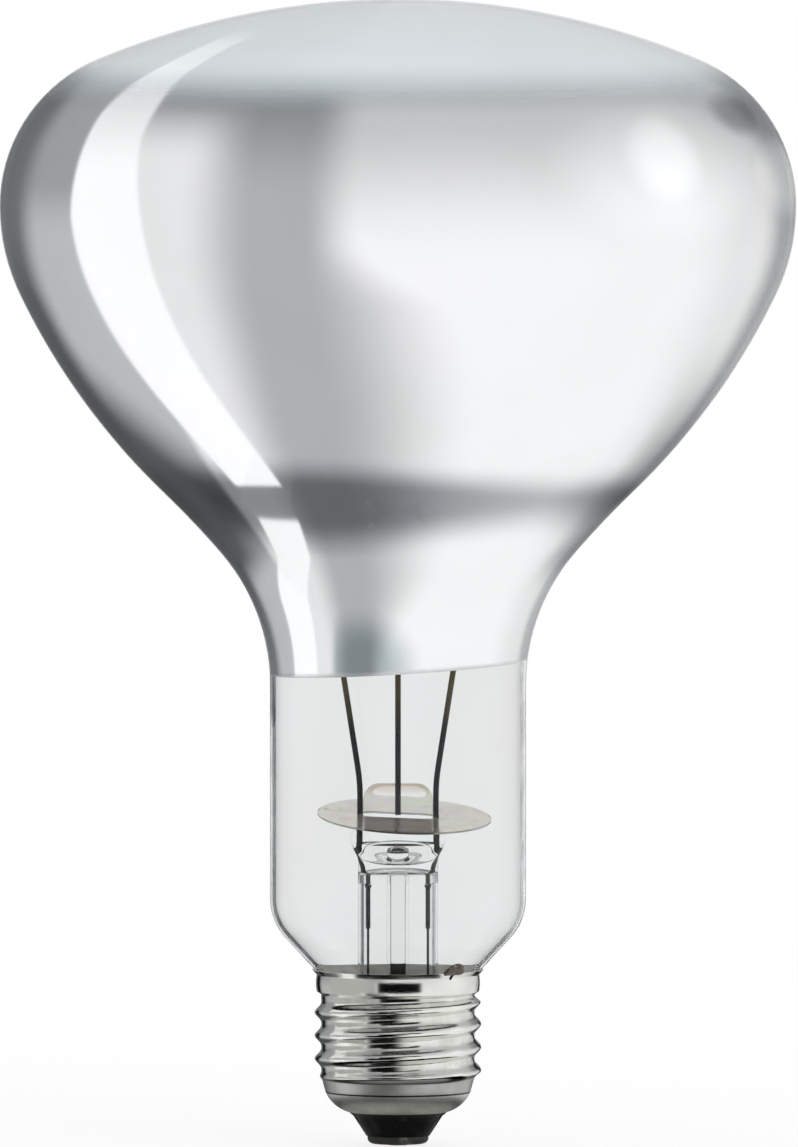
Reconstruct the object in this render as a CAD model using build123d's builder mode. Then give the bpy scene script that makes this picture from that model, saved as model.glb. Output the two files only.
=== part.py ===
from build123d import *
import os
from math import acos, asin, atan2, cos, degrees, hypot, radians, sin, sqrt, tan

# Infrared reflector lamp: a silvered glass bulb, a glass stem with its wires and coil, and a screw cap.
# Millimetres and degrees. The lamp's axis is Z, its front face is up, and the origin is the lowest
# point of the centre contact.

# Bulb glass
bulb_diameter = 125.0
face_radius = 122.5
face_edge_radius = 25.0
bowl_edge_radius = 32.0
bowl_depth = 75.2
bowl_bulge = 7.4
throat_radius = 140.0
throat_turn = 5.3
neck_bend_radius = 31.8
neck_diameter = 40.2
neck_length = 33.6
base_edge_radius = 9.0
base_cone_angle = 43.0
seal_diameter = 21.8
seal_length = 3.6
glass_wall = 0.9

# Mirror film on the inside of the bowl
film_thickness = 0.1
film_face_gap = 8.0
film_neck_gap = 2.7
film_edge_tilt = 3.3

# Screw cap
thread_crest_diameter = 26.2
thread_root_diameter = 24.1
thread_pitch = 3.629
thread_turns = 4
thread_crest_width = 0.5
thread_root_width = 1.1
cap_sheet = 0.3
skirt_diameter = 25.8
skirt_height = 3.4
skirt_step = 0.5
lip_diameter = 27.0
lip_height = 0.8
cement_line = 0.15
taper_height = 0.8
cup_diameter = 22.8
cup_height = 3.15
cup_sag = 0.55
cup_hole_diameter = 15.6

# Insulator, contact and solder under the cap
insulator_height = 5.25
insulator_collar = 0.65
insulator_collar_diameter = 14.0
insulator_foot_diameter = 10.0
insulator_hole_diameter = 2.0
contact_diameter = 9.6
contact_thickness = 1.25
contact_edge = 0.9
contact_hole_diameter = 1.6
solder_diameter = 4.4
solder_flat_diameter = 3.0
solder_drop = 0.25
side_solder_width = 3.3
side_solder_height = 1.7
side_solder_bulge = 0.5
side_solder_lap = 0.3
side_lead_cover = 1.37
side_solder_azimuth = -50.0

# Glass stem
stem_diameter = 12.6
stem_wall = 0.9
stem_length = 23.0
press_rise = 3.3
press_height = 2.0
press_width = 15.0
press_thickness = 4.2
press_corner = 1.8
bore_dome = 2.2
tongue_width = 10.9
tongue_height = 6.9
tongue_edge = 1.3
exhaust_diameter = 3.5
exhaust_bore = 2.2
exhaust_seat = 3.2
exhaust_tip_height = 12.0
exhaust_tip_wall = 1.5
blow_hole_diameter = 1.4

# Heat shield
shield_diameter = 27.3
shield_thickness = 0.3
shield_rise = 1.7
shield_offset = 1.0
shield_tilt_front = 8.0
shield_tilt_side = 2.4
shield_clearance = 0.1

# Wires and coil
lead_diameter = 0.9
lead_gap = 0.05
lead_rise = 0.2
lead_bend_radius = 30.0
lead_sink = 3.0
support_bend_radius = 20.0
support_sink = 5.0
seal_wire_diameter = 0.75
seal_wire_drop = 0.8
seal_wire_foot = 4.7
seal_wire_slope = 2.5
seal_wire_length = 13.0
seal_wire_bend_radius = 2.4
weld_bead_diameter = 1.1
weld_bead_height = 6.8
outer_lead_diameter = 0.4
outer_lead_bend_radius = 1.2
outer_lead_gap = 0.15
outer_lead_drop = 1.3
coil_height = 101.0
coil_ring_diameter = 28.0
coil_diameter = 1.4
coil_overhang = 1.6
hook_clearance = 0.05
hook_turn = 250.0

os.makedirs("parts", exist_ok=True)


def polar(centre, radius, angle):
    """Point at a radius and an angle from a centre, in the plane of the outline."""
    return (centre[0] + radius * cos(radians(angle)), centre[1] + radius * sin(radians(angle)))


def bearing(start, end):
    """Angle of the line from one point of the outline to another."""
    return degrees(atan2(end[1] - start[1], end[0] - start[0]))


def radial_plane(azimuth):
    """Plane through the lamp's axis, with x outwards at an azimuth and y up."""
    turn = radians(azimuth)
    return Plane((0, 0, 0), x_dir=(cos(turn), sin(turn), 0), z_dir=(sin(turn), -cos(turn), 0))


# Heights up the cap
cup_bottom = insulator_height
cup_top = cup_bottom + cup_height
thread_bottom = cup_top + taper_height
thread_top = thread_bottom + thread_turns * thread_pitch
skirt_bottom = thread_top + skirt_step
cap_top = skirt_bottom + skirt_height

# Heights up the bulb, which stands in the cap with a line of cement round its cone
bulb_radius = bulb_diameter / 2
neck_radius = neck_diameter / 2
seal_radius = seal_diameter / 2
rim_glass_radius = lip_diameter / 2 - cap_sheet - cement_line
cone_slope = tan(radians(base_cone_angle))
base_edge_inset = base_edge_radius * (1 - cos(radians(base_cone_angle)))
base_edge_drop = base_edge_radius * sin(radians(base_cone_angle))
base_edge_height = cap_top + base_edge_drop + (neck_radius - base_edge_inset - rim_glass_radius) / cone_slope
cone_bottom = cap_top - (rim_glass_radius - seal_radius) / cone_slope
seal_bottom = cone_bottom - seal_length
neck_top = base_edge_height + neck_length
widest_height = neck_top + bowl_depth

# Arc centres of the bulb's outline
face_edge_centre = (bulb_radius - face_edge_radius, widest_height)
bowl_edge_centre = (bulb_radius - bowl_edge_radius, widest_height)
neck_bend_centre = (neck_radius + neck_bend_radius, neck_top)
base_edge_centre = (neck_radius - base_edge_radius, base_edge_height)
face_centre_drop = sqrt((face_radius - face_edge_radius) ** 2 - face_edge_centre[0] ** 2)
face_centre = (0, widest_height - face_centre_drop)
lamp_length = face_centre[1] + face_radius
face_hand_over = bearing(face_centre, face_edge_centre)

# The bowl is one arc, tangent to its edge and to the throat, a long hollow arc that leads to the neck bend
bowl_span = hypot(bowl_edge_centre[0] - neck_bend_centre[0], bowl_depth)
straight_side = degrees(acos((bowl_edge_radius + neck_bend_radius) / bowl_span))
bowl_lean = bearing(neck_bend_centre, bowl_edge_centre) + straight_side - bowl_bulge
throat_lean = bowl_lean + throat_turn
throat_foot = polar(neck_bend_centre, neck_bend_radius, throat_lean)
throat_centre = polar(throat_foot, throat_radius, throat_lean - 180)
bowl_foot = polar(throat_centre, throat_radius, bowl_lean)
foot_offset = (bowl_foot[0] - bowl_edge_centre[0], bowl_foot[1] - bowl_edge_centre[1])
foot_reach = foot_offset[0] * cos(radians(bowl_lean)) + foot_offset[1] * sin(radians(bowl_lean))
bowl_radius = (bowl_edge_radius**2 - hypot(*foot_offset) ** 2) / (2 * (foot_reach + bowl_edge_radius))
bowl_centre = polar(bowl_foot, bowl_radius, bowl_lean)
bowl_hand_over = bearing(bowl_centre, bowl_edge_centre)

# Heights up the stem
stem_radius = stem_diameter / 2
flare_rim_radius = seal_radius - glass_wall
flare_radius = flare_rim_radius - stem_radius
flare_height = seal_bottom + flare_radius + stem_wall
press_bottom = seal_bottom + stem_length
press_top = press_bottom + press_rise
shoulder_top = press_top + press_height
tongue_top = shoulder_top + tongue_height
exhaust_top = press_bottom + exhaust_seat
shield_height = shoulder_top + shield_rise

# Wire sizes that the pieces round them share
lead_radius = lead_diameter / 2
seal_wire_radius = seal_wire_diameter / 2
outer_lead_radius = outer_lead_diameter / 2
coil_ring_radius = coil_ring_diameter / 2
hook_radius = coil_diameter / 2 + hook_clearance + lead_radius
lead_foot = tongue_width / 2 + lead_gap + lead_radius
lead_bend_height = tongue_top + lead_rise
lead_bottom = shoulder_top - lead_sink
seal_wire_bottom = lead_bottom - seal_wire_length
thread_bore_radius = thread_root_diameter / 2 - cap_sheet


def bulb_outline(inset):
    """Half outline of the bulb, from the middle of its face to the seal, set in from the outer surface."""
    CenterArc(face_centre, face_radius - inset, face_hand_over, 90 - face_hand_over)
    CenterArc(face_edge_centre, face_edge_radius - inset, 0, face_hand_over)
    CenterArc(bowl_edge_centre, bowl_edge_radius - inset, bowl_hand_over, -bowl_hand_over)
    CenterArc(bowl_centre, bowl_radius - inset, bowl_lean - 180, bowl_hand_over - bowl_lean + 180)
    CenterArc(throat_centre, throat_radius + inset, bowl_lean, throat_turn)
    CenterArc(neck_bend_centre, neck_bend_radius + inset, throat_lean, 180 - throat_lean)
    Line((neck_radius - inset, neck_top), (neck_radius - inset, base_edge_height))
    CenterArc(base_edge_centre, base_edge_radius - inset, -base_cone_angle, base_cone_angle)
    cone_start = polar(base_edge_centre, base_edge_radius - inset, -base_cone_angle)
    seal_start = cone_start[1] - (cone_start[0] - seal_radius + inset) / cone_slope
    Polyline(cone_start, (seal_radius - inset, seal_start), (seal_radius - inset, seal_bottom))


# Glass envelope, blown in one piece
with BuildPart() as glass_envelope:
    with BuildSketch(Plane.XZ):
        with BuildLine():
            bulb_outline(0)
            bulb_outline(glass_wall)
            Line((0, lamp_length), (0, lamp_length - glass_wall))
            Line((seal_radius, seal_bottom), (seal_radius - glass_wall, seal_bottom))
        make_face()
    revolve(axis=Axis.Z)
glass_envelope.part.label = "glass_envelope"
export_step(glass_envelope.part, "parts/glass_envelope.step")

# Mirror film on the inner wall, from the edge of the face to a slanting edge at the neck
with BuildPart() as mirror_coating:
    with BuildSketch(Plane.XZ):
        with BuildLine():
            film_inset = glass_wall + film_thickness
            bulb_outline(glass_wall)
            bulb_outline(film_inset)
            Line((0, lamp_length - glass_wall), (0, lamp_length - film_inset))
            Line((seal_radius - glass_wall, seal_bottom), (seal_radius - film_inset, seal_bottom))
        make_face()
    revolve(axis=Axis.Z)
    split(bisect_by=Plane.XY.offset(lamp_length - film_face_gap), keep=Keep.BOTTOM)
    neck_edge = Plane.XY.offset(neck_top + film_neck_gap).rotated((0, -film_edge_tilt, 0))
    split(bisect_by=neck_edge, keep=Keep.TOP)
mirror_coating.part.label = "mirror_coating"
export_step(mirror_coating.part, "parts/mirror_coating.step")


def hooked_wire(azimuth, foot, bottom, bend_radius):
    """Wire that stands in the press, leans out to the coil and hooks round it."""
    coil_centre = (coil_ring_radius, coil_height)
    bend = (foot, lead_bend_height)
    reach = hypot(coil_centre[0] - bend[0], coil_centre[1] - bend[1])
    lean = bearing(bend, coil_centre) + degrees(asin(hook_radius / reach))
    hook_start = polar(bend, sqrt(reach**2 - hook_radius**2), lean)
    plane = radial_plane(azimuth)
    with BuildPart() as wire:
        with BuildLine(plane) as path:
            FilletPolyline((foot, bottom), bend, hook_start, radius=bend_radius)
            CenterArc(coil_centre, hook_radius, lean + 90, -hook_turn)
        with BuildSketch(Plane(plane.from_local_coords((foot, bottom)))):
            Circle(lead_radius)
        sweep(path=path.wires()[0])
    return wire.part


def seal_wire(azimuth):
    """Wire from the foot of an inner lead down through the press into the stem tube, with its weld bead."""
    plane = radial_plane(azimuth)
    slope_top = lead_bottom - seal_wire_drop
    slope_bottom = slope_top - seal_wire_slope
    with BuildPart() as wire:
        with BuildLine(plane) as path:
            FilletPolyline(
                (lead_foot, lead_bottom),
                (lead_foot, slope_top),
                (seal_wire_foot, slope_bottom),
                (seal_wire_foot, seal_wire_bottom),
                radius=seal_wire_bend_radius,
            )
        with BuildSketch(Plane(plane.from_local_coords((lead_foot, lead_bottom)))):
            Circle(seal_wire_radius)
        sweep(path=path.wires()[0])
        with Locations(plane.from_local_coords((seal_wire_foot, seal_wire_bottom + weld_bead_height))):
            Sphere(weld_bead_diameter / 2)
    return wire.part


def outer_lead(points):
    """Thin copper lead along straight runs and bends, starting straight down from a seal wire."""
    with BuildPart() as wire:
        with BuildLine() as path:
            FilletPolyline(*points, radius=outer_lead_bend_radius)
        with BuildSketch(Plane(points[0])):
            Circle(outer_lead_radius)
        sweep(path=path.wires()[0])
    return wire.part


# Two inner leads at the sides and the coil's support wire, which leans to the back
inner_leads = []
seal_wires = []
for side, azimuth in (("left", 180), ("right", 0)):
    inner_leads.append(hooked_wire(azimuth, lead_foot, lead_bottom, lead_bend_radius))
    inner_leads[-1].label = f"inner_lead_{side}"
    export_step(inner_leads[-1], f"parts/inner_lead_{side}.step")
    seal_wires.append(seal_wire(azimuth))
    seal_wires[-1].label = f"seal_wire_{side}"
    export_step(seal_wires[-1], f"parts/seal_wire_{side}.step")
filament_support = hooked_wire(90, 0, tongue_top - support_sink, support_bend_radius)
filament_support.label = "filament_support"
export_step(filament_support, "parts/filament_support.step")

# Filament: the coil's outer form, half a ring through the three hooks, with its ends past the leads
with BuildPart() as filament:
    with BuildLine(Plane.XY.offset(coil_height)) as coil_path:
        Line((coil_ring_radius, -coil_overhang), (coil_ring_radius, 0))
        CenterArc((0, 0), coil_ring_radius, 0, 180)
        Line((-coil_ring_radius, 0), (-coil_ring_radius, -coil_overhang))
    with BuildSketch(Plane((coil_ring_radius, -coil_overhang, coil_height), z_dir=(0, 1, 0))):
        Circle(coil_diameter / 2)
    sweep(path=coil_path.wires()[0])
filament.part.label = "filament"
export_step(filament.part, "parts/filament.step")

# Glass stem: a tube with a flared foot that meets the bulb's seal, pressed flat round the wires at its top
bore_radius = stem_radius - stem_wall
dome_radius = (bore_radius**2 + bore_dome**2) / (2 * bore_dome)
dome_centre = (0, press_bottom + bore_dome - dome_radius)
dome_start = bearing(dome_centre, (bore_radius, press_bottom))
flare_centre = (flare_rim_radius, flare_height)
with BuildPart() as stem_flare:
    with BuildSketch(Plane.XZ):
        with BuildLine():
            outside = CenterArc(flare_centre, flare_radius, 180, 90)
            Polyline(
                outside @ 1,
                (flare_rim_radius, seal_bottom),
                (0, seal_bottom),
                (0, press_bottom),
                (stem_radius, press_bottom),
                outside @ 0,
            )
        make_face()
    revolve(axis=Axis.Z)
    with BuildSketch(Plane.XY.offset(press_bottom)):
        Circle(stem_radius)
    with BuildSketch(Plane.XY.offset(press_top)):
        RectangleRounded(press_width, press_thickness, press_corner)
    loft()
    with BuildSketch(Plane.XY.offset(press_top)):
        RectangleRounded(press_width, press_thickness, press_corner)
    extrude(amount=press_height)
    with BuildSketch(Plane.XY.offset(shoulder_top)):
        RectangleRounded(tongue_width, press_thickness, press_corner)
    extrude(amount=tongue_height)
    fillet(stem_flare.faces().sort_by(Axis.Z)[-1].edges(), radius=tongue_edge)
    # Bore of the tube, domed under the press
    with BuildSketch(Plane.XZ):
        with BuildLine():
            inside = CenterArc(flare_centre, flare_radius + stem_wall, 180, 90)
            dome = CenterArc(dome_centre, dome_radius, dome_start, 90 - dome_start)
            Line(inside @ 0, dome @ 0)
            Polyline(dome @ 1, (0, seal_bottom), inside @ 1)
        make_face()
    revolve(axis=Axis.Z, mode=Mode.SUBTRACT)
    # Seat of the exhaust tube, and the blow hole from its bore to the front of the press
    with BuildSketch(Plane.XY.offset(press_bottom)):
        Circle(exhaust_diameter / 2)
    extrude(amount=exhaust_seat, mode=Mode.SUBTRACT)
    with BuildSketch(Plane.XY.offset(exhaust_top)):
        Circle(exhaust_bore / 2)
    extrude(amount=exhaust_bore, mode=Mode.SUBTRACT)
    with BuildSketch(Plane.XZ):
        with Locations((0, exhaust_top + exhaust_bore / 2)):
            Circle(blow_hole_diameter / 2)
    extrude(amount=stem_diameter, mode=Mode.SUBTRACT)
    for wire in (*inner_leads, *seal_wires, filament_support):
        add(wire, mode=Mode.SUBTRACT)
stem_flare.part.label = "stem_flare"
export_step(stem_flare.part, "parts/stem_flare.step")

# Exhaust tube: seated in the press, melted shut at its lower tip
with BuildPart() as exhaust_tube:
    with BuildSketch(Plane.XZ):
        with BuildLine():
            exhaust_radius = exhaust_diameter / 2
            tip = CenterArc((0, exhaust_tip_height + exhaust_radius), exhaust_radius, -90, 90)
            Polyline(
                tip @ 1,
                (exhaust_radius, exhaust_top),
                (exhaust_bore / 2, exhaust_top),
                (exhaust_bore / 2, exhaust_tip_height + exhaust_tip_wall),
                (0, exhaust_tip_height + exhaust_tip_wall),
                tip @ 0,
            )
        make_face()
    revolve(axis=Axis.Z)
exhaust_tube.part.label = "exhaust_tube"
export_step(exhaust_tube.part, "parts/exhaust_tube.step")

# Heat shield: a thin disc that sits askew on the tongue, with one opening for the tongue and the leads
with BuildPart() as heat_shield:
    shield_plane = Plane((shield_offset, 0, shield_height)).rotated((shield_tilt_front, shield_tilt_side, 0))
    with BuildSketch(shield_plane):
        Circle(shield_diameter / 2)
    extrude(amount=shield_thickness / 2, both=True)
    with BuildSketch(Plane.XY.offset(shoulder_top)):
        RectangleRounded(
            tongue_width + 2 * shield_clearance,
            press_thickness + 2 * shield_clearance,
            press_corner + shield_clearance,
        )
        with Locations((lead_foot, 0), (-lead_foot, 0)):
            Circle(lead_radius + shield_clearance)
    extrude(amount=tongue_height, mode=Mode.SUBTRACT)
heat_shield.part.label = "heat_shield"
export_step(heat_shield.part, "parts/heat_shield.step")


def cap_side(inset):
    """Side of the cap shell from its lip to the foot of the thread, set in from the outer surface."""
    root = thread_root_diameter / 2 - inset
    crest = thread_crest_diameter / 2 - inset
    skirt = skirt_diameter / 2 - inset
    half_base = (thread_pitch - thread_root_width) / 2
    half_crest = thread_crest_width / 2
    points = [(lip_diameter / 2 - inset, cap_top), (skirt, cap_top - lip_height), (skirt, skirt_bottom)]
    points.append((root, thread_top))
    for turn in range(thread_turns):
        middle = thread_top - (turn + 0.5) * thread_pitch
        points.extend([(root, middle + half_base), (crest, middle + half_crest)])
        points.extend([(crest, middle - half_crest), (root, middle - half_base)])
    points.append((root, thread_bottom))
    return points


# Round bottom of the cap shell, as arcs about one centre
cup_edge = (cup_diameter / 2, cup_top)
cup_hole = (cup_hole_diameter / 2, cup_bottom)
cup_chord = hypot(cup_edge[0] - cup_hole[0], cup_height)
cup_radius = (cup_chord**2 / 4 + cup_sag**2) / (2 * cup_sag)
cup_middle = ((cup_edge[0] + cup_hole[0]) / 2, (cup_top + cup_bottom) / 2)
cup_centre = polar(cup_middle, cup_radius - cup_sag, bearing(cup_hole, cup_edge) + 90)
cup_start = bearing(cup_centre, cup_hole)
cup_turn = bearing(cup_centre, cup_edge) - cup_start
insulator_top = polar(cup_centre, cup_radius - cap_sheet, cup_start + cup_turn)[1]

# Outer lead to the side contact: under the seal, up between glass and shell, and along the cone to the lip
rim_plane = radial_plane(side_solder_azimuth)
under_seal = seal_bottom - outer_lead_drop
channel_radius = (seal_radius + thread_bore_radius) / 2
cone_offset = (outer_lead_radius + outer_lead_gap) / cos(radians(base_cone_angle)) + seal_radius
channel_top = cone_bottom + (channel_radius - cone_offset) / cone_slope
rim_end_height = cap_top + side_solder_height - side_lead_cover
rim_end_radius = cone_offset + (rim_end_height - cone_bottom) * cone_slope
side_lead_route = [
    ((seal_wire_foot + channel_radius) / 2, under_seal),
    (channel_radius, under_seal),
    (channel_radius, channel_top),
    (rim_end_radius, rim_end_height),
]
side_lead = outer_lead(
    [
        Vector(seal_wire_foot, 0, seal_wire_bottom),
        Vector(seal_wire_foot, 0, flare_height),
        *[rim_plane.from_local_coords(point) for point in side_lead_route],
    ]
)
side_lead.label = "outer_lead_right"
export_step(side_lead, "parts/outer_lead_right.step")

# Cap shell of thin sheet, with the thread as rolled rings and a way out for the side lead at its lip
with BuildPart() as cap_shell:
    with BuildSketch(Plane.XZ):
        with BuildLine():
            cup_outside = CenterArc(cup_centre, cup_radius, cup_start, cup_turn)
            cup_inside = CenterArc(cup_centre, cup_radius - cap_sheet, cup_start, cup_turn)
            Line(cup_outside @ 0, cup_inside @ 0)
            outer_side = Polyline(*cap_side(0), cup_outside @ 1)
            inner_side = Polyline(*cap_side(cap_sheet), cup_inside @ 1)
            Line(outer_side @ 0, inner_side @ 0)
        make_face()
    revolve(axis=Axis.Z)
    add(side_lead, mode=Mode.SUBTRACT)
cap_shell.part.label = "cap_shell"
export_step(cap_shell.part, "parts/cap_shell.step")

# Insulator: black glass that fills the bottom of the shell and stands out below it as a cone
contact_top = solder_drop + contact_thickness
with BuildPart() as cap_insulator:
    with BuildSketch(Plane.XZ):
        with BuildLine():
            seat = CenterArc(cup_centre, cup_radius - cap_sheet, cup_start, cup_turn)
            Polyline(
                seat @ 0,
                cup_hole,
                (insulator_collar_diameter / 2, cup_bottom - insulator_collar),
                (insulator_foot_diameter / 2, contact_top),
                (insulator_hole_diameter / 2, contact_top),
                (insulator_hole_diameter / 2, insulator_top),
                seat @ 1,
            )
        make_face()
    revolve(axis=Axis.Z)
cap_insulator.part.label = "cap_insulator"
export_step(cap_insulator.part, "parts/cap_insulator.step")

# Contact plate: a round plate with a rolled edge and a hole for the lead
with BuildPart() as contact_plate:
    with BuildSketch(Plane.XZ):
        with BuildLine():
            edge_centre = (contact_diameter / 2 - contact_edge, solder_drop + contact_edge)
            edge = CenterArc(edge_centre, contact_edge, -90, 90)
            Polyline(
                edge @ 1,
                (contact_diameter / 2, contact_top),
                (contact_hole_diameter / 2, contact_top),
                (contact_hole_diameter / 2, solder_drop),
                edge @ 0,
            )
        make_face()
    revolve(axis=Axis.Z)
contact_plate.part.label = "contact_plate"
export_step(contact_plate.part, "parts/contact_plate.step")

# Outer lead to the centre contact: down the stem tube, past the exhaust tip and through the insulator
axis_plane = radial_plane(180)
centre_lead_route = [
    (seal_wire_foot, seal_wire_bottom),
    (seal_wire_foot, exhaust_tip_height + 2 * exhaust_radius),
    (0, insulator_top + outer_lead_bend_radius),
    (0, solder_drop + contact_thickness / 2),
]
centre_lead = outer_lead([axis_plane.from_local_coords(point) for point in centre_lead_route])
centre_lead.label = "outer_lead_left"
export_step(centre_lead, "parts/outer_lead_left.step")

# Solder under the contact plate, round the end of the lead
with BuildPart() as contact_solder:
    with BuildSketch(Plane.XZ):
        with BuildLine():
            Polyline(
                (0, 0),
                (solder_flat_diameter / 2, 0),
                (solder_diameter / 2, solder_drop),
                (contact_hole_diameter / 2, solder_drop),
                (contact_hole_diameter / 2, contact_top),
                (0, contact_top),
                close=True,
            )
        make_face()
    revolve(axis=Axis.Z)
    add(centre_lead, mode=Mode.SUBTRACT)
contact_solder.part.label = "contact_solder"
export_step(contact_solder.part, "parts/contact_solder.step")

# Lump of solder over the lip, against the bulb's cone, where the side lead comes out
with BuildPart() as side_solder:
    # The lump's width seen at the smaller radius of the seal, so that the turn reaches past it on both sides
    lump_turn = degrees(asin(side_solder_width / 2 / seal_radius))
    with BuildSketch(radial_plane(side_solder_azimuth - lump_turn)):
        with BuildLine():
            lump_top = (rim_glass_radius + side_solder_height * cone_slope, cap_top + side_solder_height)
            lip_flare = (lip_diameter - skirt_diameter) / 2 / lip_height
            lump_foot = (lip_diameter / 2 - side_solder_lap * lip_flare, cap_top - side_solder_lap)
            ThreePointArc(lump_top, (lip_diameter / 2 + side_solder_bulge, cap_top), lump_foot)
            Polyline(lump_top, (rim_glass_radius, cap_top), (lip_diameter / 2, cap_top), lump_foot)
        make_face()
    revolve(axis=Axis.Z, revolution_arc=2 * lump_turn)
    with BuildSketch(Plane((0, 0, cap_top), z_dir=rim_plane.x_dir)):
        Circle(side_solder_width / 2)
    extrude(amount=lip_diameter, mode=Mode.INTERSECT)
    add(side_lead, mode=Mode.SUBTRACT)
side_solder.part.label = "side_solder"
export_step(side_solder.part, "parts/side_solder.step")

# Cement between the bulb's cone and the skirt, round the side lead
with BuildPart() as cap_cement:
    with BuildSketch(Plane.XZ):
        with BuildLine():
            skirt_wall = skirt_diameter / 2 - cap_sheet
            Polyline(
                (seal_radius, skirt_bottom),
                (skirt_wall, skirt_bottom),
                (skirt_wall, cap_top - lip_height),
                (lip_diameter / 2 - cap_sheet, cap_top),
                (rim_glass_radius, cap_top),
                (seal_radius, cone_bottom),
                close=True,
            )
        make_face()
    revolve(axis=Axis.Z)
    add(side_lead, mode=Mode.SUBTRACT)
cap_cement.part.label = "cap_cement"
export_step(cap_cement.part, "parts/cap_cement.step")
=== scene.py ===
from math import acos, atan2, cos, degrees, hypot, pi, radians, sin, sqrt, tan

import bmesh
import bpy
from bpy.props import FloatProperty, FloatVectorProperty, IntProperty, PointerProperty
from mathutils import Matrix, Vector


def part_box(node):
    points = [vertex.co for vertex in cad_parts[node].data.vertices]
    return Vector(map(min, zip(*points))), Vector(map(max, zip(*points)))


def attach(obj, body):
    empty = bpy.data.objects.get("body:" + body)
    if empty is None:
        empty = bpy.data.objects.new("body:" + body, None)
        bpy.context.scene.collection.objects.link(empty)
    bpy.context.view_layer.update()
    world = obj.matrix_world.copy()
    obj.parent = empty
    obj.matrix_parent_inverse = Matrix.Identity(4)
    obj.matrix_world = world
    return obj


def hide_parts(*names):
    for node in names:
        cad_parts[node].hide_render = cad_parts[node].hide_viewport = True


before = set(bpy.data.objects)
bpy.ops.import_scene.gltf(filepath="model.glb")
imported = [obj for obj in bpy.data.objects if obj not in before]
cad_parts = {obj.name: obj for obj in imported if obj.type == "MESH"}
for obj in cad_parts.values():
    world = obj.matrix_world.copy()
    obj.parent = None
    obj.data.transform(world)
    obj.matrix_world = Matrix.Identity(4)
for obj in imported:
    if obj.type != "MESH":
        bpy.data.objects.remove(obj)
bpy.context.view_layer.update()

bl_info = {
    "name": "Infrared reflector lamp",
    "version": (1, 0, 0),
    "blender": (4, 5, 0),
    "location": "3D View > Sidebar > Lamp",
    "description": "Dresses a silvered heat lamp: blown glass, mirror film, wired stem and rolled screw cap",
    "category": "Object",
}

BODY = "root"
MERGE_DISTANCE = 2e-6
HAIR = 5e-6              # sets the dressed bulb just inside the CAD model's widest circle
GLASS_SPACING = 0.0017   # between the points of the glass's outline
FILM_SPACING = 0.0005    # between the points of the film's outline

# Tones of the background and of the cards round the cap
WHITE = (1.0, 1.0, 1.0)
BLACK = (0.0, 0.0, 0.0)
FLOOR_SHADE = (0.3, 0.3, 0.29)
GREY = (0.5, 0.51, 0.49)
PALE = (0.85, 0.85, 0.84)

glass_low, glass_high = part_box("glass_envelope")
film_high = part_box("mirror_coating")[1]
stem_low, stem_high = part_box("stem_flare")
exhaust_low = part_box("exhaust_tube")[0]
shell_low, shell_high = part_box("cap_shell")
coil_low, coil_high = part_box("filament")


def length(name, description, default):
    """A size in metres that a user may change."""
    kind = {"unit": "LENGTH", "min": 0, "precision": 5}
    return FloatProperty(name=name, description=description, default=default, **kind)


def turn(name, description, degrees_default):
    """An angle that a user may change."""
    default = radians(degrees_default)
    return FloatProperty(name=name, description=description, default=default, subtype="ANGLE")


def share(name, description, default):
    """A plain number that a user may change."""
    return FloatProperty(name=name, description=description, default=default, precision=3)


def count(name, description, default):
    """A whole number that a user may change."""
    return IntProperty(name=name, description=description, default=default, min=3)


def colour(name, description, default):
    """A colour that a user may change."""
    kind = {"subtype": "COLOR", "min": 0, "max": 1}
    return FloatVectorProperty(name=name, description=description, default=default, **kind)


def power(name, description, default):
    """A lamp's power that a user may change."""
    return FloatProperty(name=name, description=description, default=default, min=0, unit="POWER")


def position(name, description, default):
    """A place in metres that a user may change."""
    kind = {"subtype": "TRANSLATION", "unit": "LENGTH"}
    return FloatVectorProperty(name=name, description=description, default=default, **kind)


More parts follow.
